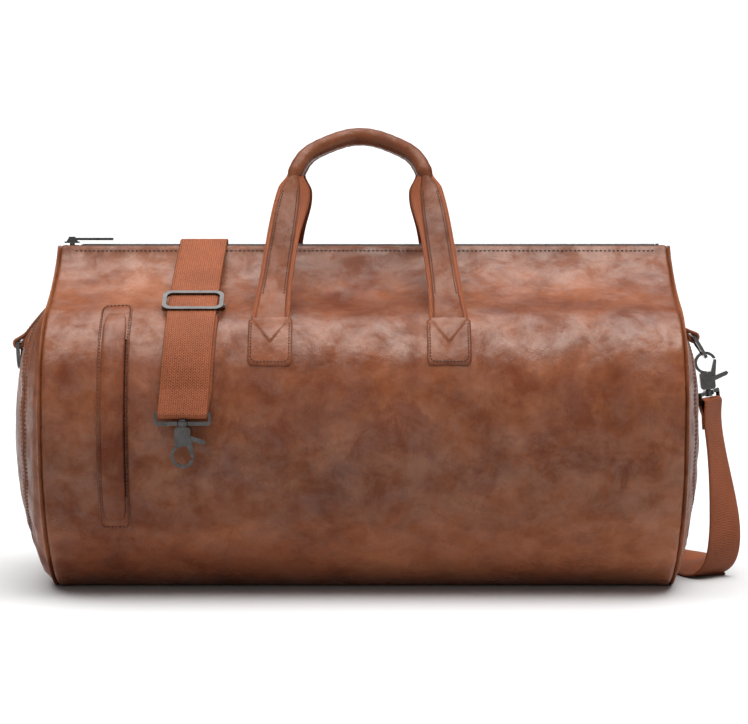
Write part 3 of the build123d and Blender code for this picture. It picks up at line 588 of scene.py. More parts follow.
def make_wrap():
    middle = [(x, 0.0) for x in np.linspace(-228, 228, 145)]
    stations = [(-x, g) for x, g in reversed(EDGE_ROLL)] + middle + EDGE_ROLL
    rows = [[on_wrap(x + flap(x, run), run, grow) for run in RUN] for x, grow in stations]
    rows = [[(x, y, max(z, 0.0)) for x, y, z in row] for row in rows]
    wrap = grid("wrap_leather", rows, "root", LEATHER)
    build = bmesh.new()
    build.from_mesh(wrap.data)
    low, high = (value * MM for value in POCKET_SLOT)
    gone = [
        f for f in build.faces
        if low < f.calc_center_median().x < high and f.calc_center_median().y < -0.05
        and POCKET_SPAN[0] * MM < f.calc_center_median().z < POCKET_SPAN[1] * MM
    ]
    bmesh.ops.delete(build, geom=gone, context="FACES")
    build.to_mesh(wrap.data)
    build.free()
    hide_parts("body_wrap")
    for name, side, run in (("front", -1, RIDGE_SEAM), ("back", 1, RUN[-1] - RIDGE_SEAM)):
        line = [(on_wrap(x, run, 0.0), (0, side, 0.5)) for x in np.linspace(-230, 231, 60)]
        stitches(f"ridge_stitches_{name}", [line], "root")


make_wrap()


# ================= domed ends =================
SECTOR = 240
THETA = np.linspace(0, 2 * math.pi, SECTOR, endpoint=False)


def rim_radius():
    """Distance from the dome's centre to the outline, for each direction of THETA."""
    closed = np.concatenate([OUTLINE, [[0, RIDGE_TOP]]])
    angle = np.unwrap(np.arctan2(closed[:, 1] - DOME_Z, closed[:, 0]))
    radius = np.hypot(closed[:, 0], closed[:, 1] - DOME_Z)
    order = np.argsort(angle)
    return np.interp(THETA, angle[order], radius[order], period=2 * math.pi)


RIM = rim_radius()
VALLEY_ROLL = [(-3.0, -4.4), (-1.2, -3.4), (0.0, -1.8), (0.8, -0.6), (1.8, -0.1)]
ENDS = {
    "left": {"side": -1, "apex": abs(LEFT_APEX), "low": 192.0, "high": 236.0, "least": 0.2},
    "right": {"side": 1, "apex": RIGHT_APEX, "low": 172.0, "high": 226.0, "least": 0.25},
}


def end_x(end, theta, radius, rim):
    """How far an end bulges along x at a direction and distance from its centre."""
    bulge = end["apex"] - CAP_START + 1
    ball = (DOME_RIM_R**2 + bulge**2) / (2 * bulge)
    depth = ball - math.sqrt(ball**2 - radius**2)
    z = DOME_Z + radius * math.sin(theta)
    full = 1 - (1 - end["least"]) * ease(z, end["low"], end["high"])
    swell = ease(rim - radius, -1, 12)
    fold = noise.noise(Vector((theta * 4.2, radius / 40.0, end["side"] * 4.0))) * 1.3
    fold += noise.noise(Vector((theta * 13.0, radius / 22.0, end["side"] * 8.0))) * 0.5
    bulge = max(end["apex"] - depth - CAP_START, 0) * full + fold * ease(radius, 20, 90)
    return end["side"] * (CAP_START - 1.6 * ease(z, 205, 240) + bulge * swell)


def end_point(end, theta, radius, rim, out=0.0):
    x = end_x(end, theta, radius, rim) + end["side"] * out
    z = DOME_Z + radius * math.sin(theta)
    return (x, radius * math.cos(theta), max(z, 0.0))


def end_rows(end, radii_of, outs):
    """Rings of points; radii_of gives a ring's radius from the rim at that direction."""
    rows = []
    for k, out in enumerate(outs):
        rows.append([end_point(end, t, radii_of(k, rim), rim, out) for t, rim in zip(THETA, RIM)])
    return rows


ZIP_GAP = 2.6  # from the middle of the round zip to the leather beside it
WHOLE_RIM = 999.0  # far enough out that the end keeps its full bulge


def make_end(name, end):
    """Gusset from the valley to the round zip's ring, and the domed panel inside it."""
    zipped = name == "left"
    inner = SHOE_ZIP_R + ZIP_GAP if zipped else SHOE_ZIP_R
    valley = []
    for dx, g in VALLEY_ROLL:
        x = end["side"] * (CAP_START + dx)
        ring = [(x, r * math.cos(t), max(DOME_Z + r * math.sin(t), 0.0)) for t, r in zip(THETA, RIM + g)]
        valley.append(ring)
    shares = np.linspace(0.04, 1, 16)
    outs = [1.8 * (1 - s) ** 2 for s in shares[:-2]] + [0.5, -0.6]
    gusset = end_rows(end, lambda k, rim: rim - 0.3 + (min(inner, rim - 3) - rim + 0.3) * shares[k], outs)
    tuck = end_rows(end, lambda k, rim: min(inner, rim - 3) + 0.2, [-2.4])
    rows = valley + gusset + tuck
    piece = grid(f"{name}_gusset_leather", rows, "root", LEATHER_END, closed=True)
    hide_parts(f"{name}_end_gusset")
    outer = SHOE_ZIP_R - ZIP_GAP if zipped else SHOE_ZIP_R - 0.3
    radii = [outer - 0.1, outer, outer - 0.7, outer - 2.0] + list(np.linspace(outer - 6, 1.0, 22))
    outs = [-2.6, -0.8, 0.1, 0.4] + [0.3 * (1 - k / 22) for k in range(22)]
    rows = end_rows(end, lambda k, rim: min(radii[k], rim - 4), outs)
    panel = grid(f"{name}_panel_leather", rows, "root", LEATHER_END, closed=True, cap=True)
    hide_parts(f"{name}_end_panel")
    lines = []
    for radius in (inner + 3.4, outer - 4.0):
        line = []
        for t, rim in zip(THETA, RIM):
            if rim - radius > 4:
                spot = end_point(end, t, radius, WHOLE_RIM if radius < 95 else rim, 0.15)
                line.append((spot, (end["side"], 0, 0)))
        lines.append(line)
    stitches(f"{name}_end_stitches", lines, "root")


for name, end in ENDS.items():
    make_end(name, end)


# ================= pieces laid on the wrap =================
def laid(name, xs, zs, profile):
    """Strip of leather on the front, x = xs(u, v), z = zs(v), height = profile(u, v), for shares u and v."""
    shares = [0.0, 0.02, 0.06] + list(np.linspace(0.12, 0.88, 14)) + [0.94, 0.98, 1.0]
    rows = [[on_wrap(xs(u, v), run_at(zs(v)), profile(u, v)) for u in shares] for v in shares]
    return grid(name, rows, "root", LEATHER_TRIM)


def rim_profile(u, v, high):
    """Height of a patch that rolls down at its border."""
    edge = min(u, 1 - u, v, 1 - v)
    return -0.8 if edge < 0.01 else high * (0.72 if edge < 0.03 else 0.94 if edge < 0.08 else 1.0)


def rounded_square(u, v, low_round):
    """Position -1..1 across, pulled in towards the middle at the two rounded lower corners."""
    across = 2 * u - 1
    if v < low_round:
        drop = 1 - v / low_round
        across *= 1 - 0.22 * (1 - math.sqrt(max(0.0, 1 - drop * drop)))
    return across


PATCH_SHARES = sorted([0.0, 0.02, 0.06, 0.94, 0.98, 1.0] + list(np.linspace(0.1, 0.9, 32)))


def patch_height(u, v):
    """Height of a handle patch: rolled border, a folded triangle and room for the handle at the top."""
    point = (v - 0.5) / 0.5 - abs(u - 0.5) * 2 / 0.86
    fold = 0.9 * ease(point, 0.0, 0.1)
    room = 0.9 * ease(v, 0.85, 1.0) * ease(min(u, 1 - u), 0.02, 0.12)
    return rim_profile(u, min(v, 0.9), 1.9) + fold + room


def make_patches(name, side):
    lines = []
    for hand in (-1, 1):
        middle = HANDLE_MID + hand * PATCH_X
        rows = []
        for v in PATCH_SHARES:
            z = PATCH_LOW - 1 + (PATCH_HIGH - PATCH_LOW) * v
            xs = [middle + rounded_square(u, v, 0.16) * PATCH_WIDE / 2 for u in PATCH_SHARES]
            rows.append([on_wrap(x, run_at(z, side), patch_height(u, v)) for x, u in zip(xs, PATCH_SHARES)])
        label = "left" if hand < 0 else "right"
        grid(f"{name}_patch_{label}", rows, "root", LEATHER_TRIM)

        def spot(dx, z):
            run = run_at(z, side)
            return (on_wrap(middle + dx, run, 1.95), wrap_normal(middle + dx, run))

        half = PATCH_WIDE / 2 - 2.6
        low, high = PATCH_LOW + 1.6, PATCH_HIGH - 3
        border = [(-half, z) for z in np.linspace(high, low + 3, 8)] + [(-half + 1.4, low + 0.8)]
        border += [(dx, low) for dx in np.linspace(-half + 4, half - 4, 9)] + [(half - 1.4, low + 0.8)]
        border += [(half, z) for z in np.linspace(low + 3, high, 8)]
        lines.append([spot(dx, z) for dx, z in border])
    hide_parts(f"{name}_handle_patches")
    stitches(f"{name}_patch_stitches", lines, "root", pitch=2.6, length=1.8)


for name, side in (("front", -1), ("back", 1)):
    make_patches(name, side)


# ================= zip pocket =================
POCKET_X, POCKET_WIDE, POCKET_LOW, POCKET_HIGH = -188.0, 24.0, 56.0, 223.0


def rounded_ring(x0, x1, z0, z1, corner):
    """Closed rounded rectangle of (x, z) points, the same number of them for every ring."""
    left, right, low, high = x0 + corner, x1 - corner, z0 + corner, z1 - corner
    middles = [(right, high), (left, high), (left, low), (right, low)]
    points = []
    for k, middle in enumerate(middles):
        after = (k + 1) % 4
        points += [polar(middle, corner, 90 * k + a) for a in np.linspace(0, 90, 7)]
        last, following = points[-1], polar(middles[after], corner, 90 * after)
        points += [between(last, following, share) for share in np.linspace(0, 1, 30)[1:-1]]
    return points


# the pocket's frame, from its border (0) to the edge of the slot (1): (share, height)
POCKET_FRAME = [
    (0.0, -0.8), (0.02, 0.7), (0.06, 1.1), (0.14, 1.3), (0.2, 0.9),
    (0.28, 0.1), (0.9, 0.1), (0.985, -0.4), (1.0, -3.6),
]
LIP_LEFT, LIP_WIDE = -197.2, 18.0


def lip_x(u, v):
    narrow = 0.3 * (max(0.0, 1 - 14 * min(v, 1 - v)) ** 2)
    return LIP_LEFT + LIP_WIDE * (0.5 + (u - 0.5) * (1 - narrow))


def lip_height(u, v):
    crown = math.sin(math.pi * min(max(u, 0.0), 1)) ** 0.42
    return 0.1 + 3.4 * crown * min(1, 12 * v, 12 * (1 - v)) ** 0.5


def make_pocket():
    x0, x1 = POCKET_X - POCKET_WIDE / 2, POCKET_X + POCKET_WIDE / 2
    s0, s1 = POCKET_SLOT
    z0, z1 = POCKET_SPAN
    rows = []
    for share, grow in POCKET_FRAME:
        ring = rounded_ring(
            x0 + (s0 - x0) * share, x1 + (s1 - x1) * share,
            POCKET_LOW + (z0 - POCKET_LOW) * share, POCKET_HIGH + (z1 - POCKET_HIGH) * share,
            4.5 + (1.2 - 4.5) * share,
        )
        rows.append([on_wrap(x, run_at(z), grow) for x, z in ring])
    frame_piece = grid("pocket_frame", rows, "root", LEATHER_TRIM, closed=True)
    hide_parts("pocket_welt")
    laid("pocket_welt_lip", lip_x, lambda v: POCKET_LOW + 6 + (POCKET_HIGH - POCKET_LOW - 12) * v, lip_height)
    border = rounded_ring(x0 + 1.7, x1 - 1.7, POCKET_LOW + 1.9, POCKET_HIGH - 1.9, 3.2)
    border.append(border[0])
    line = [(on_wrap(x, run_at(z), 1.5), wrap_normal(x, run_at(z))) for x, z in border]
    stitches("pocket_stitches", [line], "root", pitch=2.9, length=2.0)
    low, high = (np.array(p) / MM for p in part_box("pocket_pouch"))
    rings = []
    for y in (low[1] + 11, low[1] + 12, low[1] + 24, low[1] + 25):
        inset = 1.5 if y in (low[1] + 11, low[1] + 25) else 0
        ring = rounded_ring(low[0] + inset, high[0] - inset, low[2] + inset, high[2] - inset, 6)
        rings.append([(x, y + 1.2 * noise.noise(Vector((x / 30, z / 30, 2))), z) for x, z in ring])
    pouch = grid("pocket_pouch_cloth", rings, "root", CLOTH, closed=True, cap=True)
    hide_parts("pocket_pouch")


make_pocket()


# ================= zips =================
def teeth(name, lines, pitch, length, radius):
    """Coil zip: one tooth per pitch, lying across each line of (point, normal, across)."""
    places = []
    for line in lines:
        for i, _, centre in spaced([Vector(p) for p, _, _ in line], pitch):
            up, across = (Vector(v).normalized() for v in line[i][1:])
            places.append((centre, across, up.cross(across), up))
    return beads(name, places, length, radius, 0.0, "root", TEETH)


def make_top_zip():
    xs = np.linspace(-226, 233.5, 120)
    for name, side in (("front", -1), ("back", 1)):
        rows = []
        for y, z in ((0.7, 267.9), (2.2, 268.2), (4.2, 268.0), (6.5, 265.9), (10.4, 265.3)):
            rows.append([(x, side * y, z + 0.25 * noise.noise(Vector((x / 14, y, side)))) for x in xs])
        tape = grid(f"top_tape_{name}", rows, "root", TAPE, thick=0.7)
        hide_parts(f"top_zip_tape_{name}")
        line = [((x, side * 1.9, 268.8), (0, 0, 1), (0, 1, 0)) for x in np.linspace(-225, 232.5, 60)]
        row = teeth(f"top_teeth_{name}", [line], 1.5, 3.4, 0.7)
        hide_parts(f"top_zip_coil_{name}")


def make_wrap_zip(name, side):
    """Zip that runs in the valley between the wrap and one end."""
    keep = range(4, len(RUN) - 4)
    rows = []
    for dx, grow in ((-1.5, -2.9), (1.0, -2.6), (2.2, -2.3), (3.8, -2.3), (5.0, -2.6), (7.5, -3.0)):
        line = []
        for k in keep:
            y, z = OUTLINE[k] + OUTWARD[k] * grow
            line.append((side * (WRAP_HALF + dx), y, max(z, 0.6)))
        rows.append(line)
    tape = grid(f"{name}_wrap_tape", rows, "root", TAPE)
    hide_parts(f"{name}_wrap_zip_tape")
    line = []
    for k in keep[::2]:
        y, z = OUTLINE[k] + OUTWARD[k] * -1.9
        if z > 2.5:
            line.append(((side * (WRAP_HALF + 3), y, z), (0, *OUTWARD[k]), (1, 0, 0)))
    breaks = [i for i in range(1, len(line)) if (Vector(line[i][0]) - Vector(line[i - 1][0])).length > 15]
    parts = [line[: breaks[0]], line[breaks[0]:]] if breaks else [line]
    teeth(f"{name}_wrap_teeth", parts, 1.8, 3.6, 0.6)


def make_shoe_zip():
    end = ENDS["left"]
    ring = []
    for offset, out in ((-4.5, -2.2), (-2.0, -1.5), (0.0, -1.3), (2.0, -1.5), (4.5, -2.2)):
        ring.append([end_point(end, t, SHOE_ZIP_R + offset, rim, out) for t, rim in zip(THETA, RIM)])
    tape = grid("shoe_tape", ring, "root", TAPE, closed=True)
    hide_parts("shoe_zip_tape")
    line = []
    for t, rim in zip(THETA, RIM):
        a, b = (Vector(end_point(end, t, SHOE_ZIP_R + offset, rim)) for offset in (-3, 3))
        across = (b - a).normalized()
        up = across.cross(Vector((0, -math.sin(t), math.cos(t))))
        if up.x > 0:
            up = -up
        line.append((end_point(end, t, SHOE_ZIP_R, rim, -0.85), up, across))
    line.append(line[0])
    teeth("shoe_teeth", [line], 1.8, 3.4, 0.5)


make_top_zip()
make_wrap_zip("left", -1)
make_wrap_zip("right", 1)
make_shoe_zip()


# ================= bands of webbing and leather =================
def band(name, stations, width, thick, body, material, edge=None):
    """Flat band through stations of (centre, direction across, outward normal), in millimetres."""
    edge = thick * 0.42 if edge is None else edge
    high = thick / 2
    us = np.linspace(-1, 1, 9)
    us[[0, -1]] -= np.sign(us[[0, -1]]) * (edge / (width / 2))
    profile = [(u, high) for u in us] + [(1.0, 0.0)] + [(u, -high) for u in us[::-1]] + [(-1.0, 0.0)]
    rows = []
    for centre, across, normal in stations:
        centre, across, normal = Vector(centre), Vector(across), Vector(normal).normalized()
        rows.append([tuple(centre + across * (width / 2 * u) + normal * n) for u, n in profile])
    return grid(name, rows, body, material, closed=True, cap=True)


def dense(line, step):
    """The same polyline with a point at least every step, keeping its corners."""
    found = [Vector(line[0])]
    for a, b in zip(line, line[1:]):
        a, b = Vector(a), Vector(b)
        parts = max(1, int((b - a).length / step))
        found += [a.lerp(b, k / parts) for k in range(1, parts + 1)]
    return found


def smooth_line(points, rounds):
    """Evens a line out with its two ends held."""
    points = np.array([tuple(p) for p in points])
    for _ in range(rounds):
        points[1:-1] = (points[:-2] + 2 * points[1:-1] + points[2:]) / 4
    return [Vector(p) for p in points]


STRAP_WIDE, STRAP_THICK = 37.5, 1.7
STRAP_TOP_X, STRAP_LOW_X = -127.5, -134.5
STRAP_BACK_X, STRAP_BACK_Y = -130.0, 144.8
FRONT_BAR = (-150.5, 145.6)
BAR_TURN = 3.1  # radius of the strap's middle round a hook's bar
FLOOR_LOW, FLOOR_HIGH = 1.3, 4.0  # heights of the two layers where the strap folds on the floor
FLOOR_TURN, FOLD_Y = 7.0, 104.0
BEND_C, BEND_R = (7.0, 267.0), 1.6


def strap_x(y, z):
    """The front of the strap leans a little to the left on its way down."""
    if y > 0:
        return STRAP_TOP_X + (STRAP_BACK_X - STRAP_TOP_X) * min(1.0, y / 60)
    return STRAP_LOW_X + (STRAP_TOP_X - STRAP_LOW_X) * min(1.0, max(0.0, (z - 145) / 125))


def taut_angle():
    dy, dz = BEND_C[0] - SHOULDER_C[0], BEND_C[1] - SHOULDER_C[1]
    return math.degrees(math.atan2(dz, dy) - math.acos((SHOULDER_R - BEND_R) / math.hypot(dy, dz)))


def over_path(grow, lowest):
    """(y, z, outward y, outward z) from a height on the round up to the ridge, with y positive."""
    low = math.degrees(math.asin((lowest - SECTION_C[1]) / (SECTION_R + grow)))
    end = taut_angle()

    def turn(centre, radius, angles):
        return [(*polar(centre, radius + grow, a), *unit(a)) for a in angles]

    found = turn(SECTION_C, SECTION_R, np.arange(low, SHOULDER_START, 1.2))
    found += turn(SHOULDER_C, SHOULDER_R, np.linspace(SHOULDER_START, end, 26))
    start, stop = polar(SHOULDER_C, SHOULDER_R + grow, end), polar(BEND_C, BEND_R + grow, end)
    found += [(*between(start, stop, share), *unit(end)) for share in np.linspace(0, 1, 20)[1:-1]]
    return found + turn(BEND_C, BEND_R, np.linspace(end, 90, 10))


def strap_stations():
    """(centre, across) from the slide to the front hook, over the ridge, down the back, to the floor fold."""
    line = []
    for y, z, _, _ in reversed([p for p in over_path(1.8, 160) if p[1] < 218]):
        line.append((strap_x(-y, z) + 1.6, -y, z))
    line += [(STRAP_LOW_X, *polar(FRONT_BAR, BAR_TURN, a)) for a in np.linspace(0, -180, 15)]
    front = over_path(3.8, 162)
    for y, z, ny, nz in front:
        lift = (1.1 + 1.6 * ease(z, 219, 245)) * ease(z, 207, 217) * ease(268 - z, 0, 18)
        line.append((strap_x(-y, z), -y - ny * lift, z + nz * lift))
    line += [(strap_x(y, z), y, z) for y, z, _, _ in reversed(front)]
    line.append((STRAP_BACK_X, STRAP_BACK_Y, 135))
    for z in np.linspace(120, 14, 16):
        sway = 0.9 * math.sin(z / 17)
        line.append((STRAP_BACK_X + 0.4 * sway, STRAP_BACK_Y + sway * 0.4, z))
    foot = (STRAP_BACK_Y - FLOOR_TURN, FLOOR_HIGH + FLOOR_TURN)
    line += [(STRAP_BACK_X, *polar(foot, FLOOR_TURN, -a)) for a in np.linspace(0, 90, 8)[1:]]
    across, slant = Vector((1, 0, 0)), Vector((1, -1, 0))
    stations = [(Vector(spot), across) for spot in line]
    start, stop = Vector((STRAP_BACK_X, foot[0], FLOOR_HIGH)), Vector((STRAP_BACK_X, FOLD_Y, FLOOR_HIGH))
    for share in (0.25, 0.6, 0.9):
        stations.append((start.lerp(stop, share), across.lerp(slant, share)))
    fold = Vector((STRAP_BACK_X, FOLD_Y, (FLOOR_HIGH + FLOOR_LOW) / 2))
    out, radius = Vector((-1, -1, 0)).normalized(), (FLOOR_HIGH - FLOOR_LOW) / 2
    for a in np.linspace(90, -90, 9):
        c, s = unit(a)
        stations.append((fold + out * (radius * c) + Vector((0, 0, radius * s)), slant))
    return stations


FLOOR_ROUTE = [
    (-130, 104), (-100, 104), (-40, 106), (40, 103), (120, 106), (190, 116), (236, 133),
    (266, 138), (284, 124), (282, 96), (272, 68), (266, 44), (268, 22), (276, 8),
]


def floor_stations():
    """Along the floor behind the bag and round its right end."""
    line = smooth_line(dense([(x, y, 0) for x, y in FLOOR_ROUTE], 6), 14)
    last = len(line) - 1
    stations = []
    for k, point in enumerate(line):
        share = k / last
        if share < 0.02:
            continue
        across = heading(line, k).normalized().cross(Vector((0, 0, 1))).normalized()
        tilt = 0.0
        if 2 < k < last - 2:
            turn = (line[k + 3] - line[k]).normalized() - (line[k] - line[k - 3]).normalized()
            tilt = max(-0.2, min(0.2, turn.dot(across) * 1.1)) * ease(1 - share, 0.0, 0.06)
        centre = Vector((point.x, point.y, FLOOR_LOW + 19 * abs(tilt)))
        stations.append((centre, (across + Vector((0, 0, tilt))).normalized()))
    return stations


RIGHT_BAR = Vector((277.85, 0.0, 142.6))
BULGE = Vector((0.883, -0.469, 0.0))
SIDE_ACROSS = Vector((0.469, 0.883, 0.0))
LOW_ACROSS = Vector((0.78, 0.63, 0.0))


def side_stations():
    """Up from the floor to the bar of the right hook, round it and a short stitched end."""
    route = [
        (276, 8, 1.3), (281, 2, 2.6), (286.5, -5, 10), (289.5, -9.2, 26), (289.6, -10, 46), (287.6, -8.2, 68),
        (284.6, -5.6, 92), (281.6, -3.4, 114), (279.6, -1.7, 128), (279.4, -0.8, 134), (280.6, -1.45, 142.6),
    ]
    line = smooth_line(dense(route, 3.0), 12)[1:]
    stations = []
    for centre in line:
        share = ease(centre.z, 20, 118)
        stations.append((centre, LOW_ACROSS.lerp(SIDE_ACROSS, share).normalized()))
    for a in np.linspace(0, 180, 14)[1:]:
        c, s = unit(a)
        stations.append((RIGHT_BAR + BULGE * (BAR_TURN * c) + Vector((0, 0, BAR_TURN * s)), SIDE_ACROSS))
    for drop, back in ((3, 4.5), (6, 3.6), (9.5, 1.95), (13, 1.95), (17, 1.95), (21, 1.95)):
        z = RIGHT_BAR.z - drop
        near = min(line, key=lambda p: abs(p.z - z))
        stations.append((Vector((near.x, near.y, z)) - BULGE * back, SIDE_ACROSS))
    return stations


STRAP_PARTS = [
    "strap_front_drop", "strap_ridge_arch", "strap_return_layer", "strap_front_fold",
    "strap_back_rise", "strap_floor_run", "strap_side_drop", "strap_side_fold",
]


def make_strap():
    stations = strap_stations() + floor_stations() + side_stations()
    centres = [centre for centre, _ in stations]
    fixed = []
    for k, (centre, across) in enumerate(stations):
        if fixed and across.dot(fixed[-1][1]) < 0:
            across = -across
        fixed.append((centre, across, across.cross(heading(centres, k))))
    strap = band("strap", fixed, STRAP_WIDE, STRAP_THICK, "root", WEBBING)
    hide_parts(*STRAP_PARTS)


make_strap()


# ================= handles =================
HINGE_Y, HINGE_Z = 110.795, 215.279
SLOPE = (101.295, 140.22)
LEG_OUTER = [(-82.3, 1.5), (-76.1, 42.0), (-69.9, 92.0), (-61.7, 132.0)]
LEG_INNER = [(-52.6, 1.5), (-50.7, 42.0), (-45.6, 92.0), (-43.5, 132.0)]
LEG_HEIGHTS = [v for _, v in LEG_OUTER]
LEG_FITS = [np.polyfit(LEG_HEIGHTS, [x for x, _ in edge], 3) for edge in (LEG_OUTER, LEG_INNER)]
# (height on the wrap, height in the plane) of the lower and the upper face
WEB_FACES, STRIP_FACES = ((0.1, -0.9), (0.9, 0.9)), ((0.8, 0.8), (1.7, 2.1))
SEAM_INSET = 5.2
GRIP_ROUTE = [(-51.4, 135.6), (-44.0, 155.0), (-10.0, 172.5), (10.0, 172.5), (44.0, 155.0), (51.4, 135.6)]


class HandlePlane:
    """Plane of one handle: u along x, v up the slope, n away from the bag."""

    def __init__(self, side):
        length = math.hypot(*SLOPE)
        self.origin = Vector((HANDLE_MID, side * HINGE_Y, HINGE_Z))
        self.up = Vector((0, -side * SLOPE[0], SLOPE[1])) / length
        self.out = Vector((0, side * SLOPE[1], SLOPE[0])) / length

    def spot(self, u, v, n=0.0):
        return self.origin + Vector((u, 0, 0)) + self.up * v + self.out * n


def leg_edges(v):
    """Outer and inner edge of the left leg at a distance up the slope."""
    reach = min(max(v, LEG_HEIGHTS[0]), LEG_HEIGHTS[-1])
    outer, inner = (float(np.polyval(fit, reach)) for fit in LEG_FITS)
    return outer + 5.2 * ease(v, 122, 140), inner - 1.5 * ease(v, 126, 140)


LEG_LOW, LEG_FREE, LEG_TOP = -10.0, 20.0, 139.0


def leg_spot(plane, side, u, v, on, off):
    """Point of a leg: on the wrap under its patch, curving away from it, then in the handle's plane."""
    sag = -1.1 * math.sin(math.pi * min(max(v / 133.0, 0), 1))
    if v >= LEG_FREE:
        return plane.spot(u, v, off + sag)
    x = HANDLE_MID + u
    start = Vector(on_wrap(x, run_at(HINGE_Z - 9.5, side), on))
    first = (Vector(on_wrap(x, run_at(HINGE_Z - 4, side), on)) - start).normalized()
    end = plane.spot(u, LEG_FREE, off + sag)
    t = (v - LEG_LOW) / (LEG_FREE - LEG_LOW)
    reach = (end - start).length
    a, b, c, d = 2 * t**3 - 3 * t**2 + 1, t**3 - 2 * t**2 + t, -2 * t**3 + 3 * t**2, t**3 - t**2
    return start * a + first * (b * reach) + end * c + plane.up * (d * reach)


def leg_rows(plane, hand, side, margin, faces, crown):
    """Rows up one leg; faces are its (height on the wrap, height in the plane) below and above."""
    rows = []
    for v in np.concatenate([np.linspace(LEG_LOW, LEG_FREE, 22), np.linspace(LEG_FREE, LEG_TOP, 40)[1:]]):
        outer, inner = leg_edges(v)
        outer, inner = outer + margin, inner - margin
        middle, half = (outer + inner) / 2, (inner - outer) / 2
        tuck = ease(v, 108, LEG_TOP)
        loose = 4.5 * bell(v, 116, 26) * ease(134 - v, 0, 12) if crown == 0 else 0.0
        row = []
        for level, (on, off) in enumerate(faces):
            line = []
            for u in np.linspace(-1, 1, 15):
                swell = crown * (1 - u**4) * level + tuck * (4.6 * math.sqrt(max(0.0, 1 - u * u)) - 2.6)
                curl = loose * ease(u, 0.5, 1.0)
                x = middle + half * u + curl
                line.append(tuple(leg_spot(plane, side, hand * x * -1, v, on, off + swell - 0.9 * curl)))
            row.append(line)
        rows.append(row[1] + row[0][::-1])
    return rows


def free_mesh(thing):
    """Takes a piece off its body so that it rides on none, and bakes its transform into the mesh."""
    thing.parent = None
    if "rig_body" in thing:
        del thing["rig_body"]
    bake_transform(thing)


def make_handle(name, side):
    plane = HandlePlane(side)
    body = f"{name}_handle"
    lines = []
    for hand, label in ((-1, "left"), (1, "right")):
        rows = leg_rows(plane, hand, side, 0.0, WEB_FACES, 0.0)
        web = grid(f"{body}_web_{label}", rows, body, WEBBING, closed=True, cap=True)
        rows = leg_rows(plane, hand, side, 3.4, STRIP_FACES, 0.5)
        strip = grid(f"{body}_strip_{label}", rows, body, LEATHER_GRIP, closed=True, cap=True)
        if hand < 0:
            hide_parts(f"{body}_webbing")
            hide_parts(f"{body}_leather")
        for edge in (0, 1):
            line = []
            for v in np.linspace(LEG_FREE, 118, 60):
                x = leg_edges(v)[edge] + (SEAM_INSET, -SEAM_INSET)[edge]
                off = 2.75 + 1.4 * ease(v, 108, LEG_TOP)
                line.append((leg_spot(plane, side, hand * -1 * x, v, 2.5, off), plane.out))
            lines.append(line)
        for piece in (web, strip):
            free_mesh(piece)
    stitches(f"{body}_stitches", lines, body, pitch=2.7, length=1.7)
    route = [plane.spot(u, v) for u, v in GRIP_ROUTE]
    route = smooth_line(dense([plane.spot(-54.5, 125.0)] + route + [plane.spot(54.5, 125.0)], 2.5), 26)
    count = len(route) - 1
    radii = []
    for k in range(count + 1):
        share = abs(2 * k / count - 1)
        end_share = ease(share, 0.84, 1.0)
        radius = 6.3 + 0.5 * bell(share, 0.0, 0.6) - 3.6 * end_share
        radii.append(radius + 0.1 * math.sin(k * 1.9) * (1 - end_share))
    grip = tube(f"{body}_grip_leather", route, radii, body, LEATHER_GRIP, 28)
    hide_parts(f"{body}_grip")
    seam = []
    for k in range(3, count - 2):
        ahead = (route[k + 1] - route[k - 1]).normalized()
        inward = (plane.out.cross(ahead)).normalized()
        if inward.dot(plane.spot(0, 120) - route[k]) < 0:
            inward = -inward
        spot = route[k] + inward * (radii[k] * 0.93) + plane.out * (radii[k] * 0.36)
        seam.append((spot, inward + plane.out * 0.4))
    stitches(f"{body}_grip_seam", [seam], body, pitch=3.0, length=2.2)


make_handle("front", -1)
make_handle("back", 1)


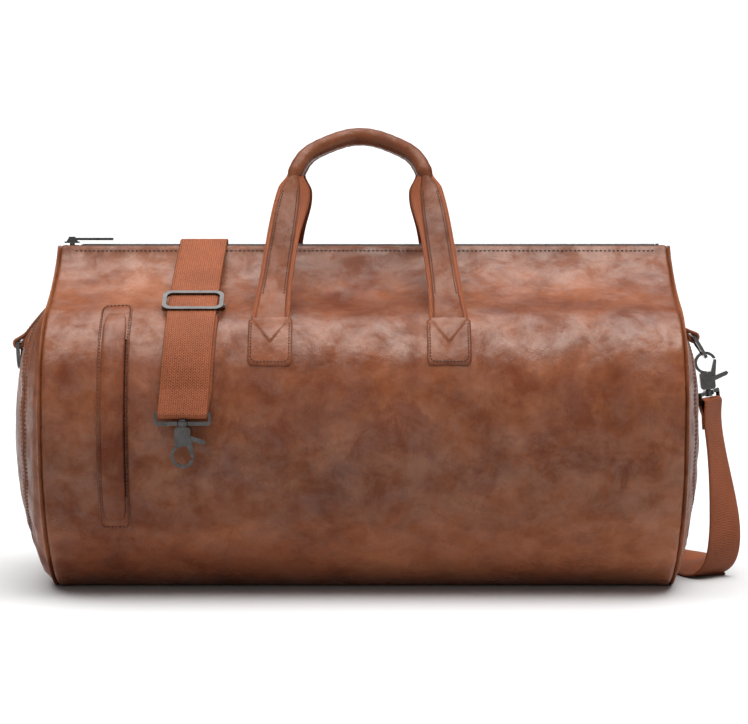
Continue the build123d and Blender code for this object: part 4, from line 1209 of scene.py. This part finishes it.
# ================= ring tabs =================
def make_tab(name, side, pivot_x, pivot_z):
    """Leather tab that hangs from a seam on the end and holds the bar of a D-ring."""
    end = ENDS[name]

    def surface(z, out):
        return Vector(end_point(end, math.pi / 2, z - DOME_Z, WHOLE_RIM, out))

    def seam(ys, zs):
        return [(surface(z, 3.1) + Vector((0, y, 0)), (side, 0, 0.3)) for y in ys for z in zs]

    loop, across = 3.4, Vector((0, 1, 0))
    line = [surface(z, 1.7) for z in np.linspace(pivot_z + 27, pivot_z + 6, 9)]
    for a in np.linspace(62, -200, 22):
        c, s = unit(a)
        line.append(Vector((pivot_x + side * loop * c, 0, pivot_z + loop * s)))
    line += [surface(pivot_z + 7, 0.3), surface(pivot_z + 14, 0.2)]
    centres = smooth_line(line, 2)
    stations = []
    for k, centre in enumerate(centres):
        stations.append((centre, across, heading(centres, k).cross(across) * side))
    tab = band(f"{name}_tab_leather", stations, 20.0, 3.0, "root", LEATHER_TRIM, edge=1.3)
    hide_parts(f"{name}_ring_tab")
    wide, top = 7.6, pivot_z + 25
    down = np.linspace(top, pivot_z + 7, 8)
    lines = [seam([-wide], down), seam([wide], down), seam(np.linspace(-wide, wide, 6), [top])]
    stitches(f"{name}_tab_stitches", lines, "root", pitch=2.8, length=2.0)


make_tab("left", -1, -275.9, 190.0)
make_tab("right", 1, 263.4, 195.0)


# ================= inside =================
def make_inside():
    rows = []
    for x in np.linspace(-232, 232, 60):
        spots = [on_wrap(x, RUN[k], -3.4) for k in range(6, len(RUN) - 6)]
        rows.append([(spot[0], spot[1], max(spot[2], 3.1)) for spot in spots])
    lining = grid("lining_cloth", rows, "root", CLOTH)
    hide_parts("wrap_lining")
    low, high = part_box("shoe_compartment_divider")
    x = (low.x + high.x) / 2 / MM
    rings = []
    for share in np.linspace(1.0, 0.02, 16):
        ring = []
        for t, rim in zip(THETA, RIM):
            radius = (rim - 5.5) * share
            z = DOME_Z + radius * math.sin(t)
            bow = 3.0 * (1 - share**2) * noise.noise(Vector((math.cos(t), math.sin(t) * 2, share * 3)))
            ring.append((x + bow, radius * math.cos(t), max(z, 7.0)))
        rings.append(ring)
    cloth = grid("divider_cloth", rings, "root", CLOTH, closed=True, thick=1.2)
    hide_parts("shoe_compartment_divider")


make_inside()

# ================= hard parts keep their CAD shape =================
BLACKED = gunmetal("zip_slider_black", (0.16, 0.155, 0.15), (0.07, 0.07, 0.07))
BOARD = woven("board_cover", (0.012, 0.011, 0.011), (0.04, 0.036, 0.034), 0.0016)
for name, part in frame["nodes"].items():
    if part.hide_render:
        continue
    black = "wrap_zip" in name or "shoe_zip" in name
    finish = BOARD if name == "base_board" else BLACKED if black else METAL
    part.data.materials.clear()
    part.data.materials.append(finish)
    if name != "base_board":
        rounded = part.modifiers.new("rounded", "BEVEL")
        rounded.width, rounded.segments = (0.9 if "slide_frame" in name else 0.35) * MM, 3
        rounded.limit_method, rounded.angle_limit = "ANGLE", math.radians(40)
        rounded.harden_normals = True
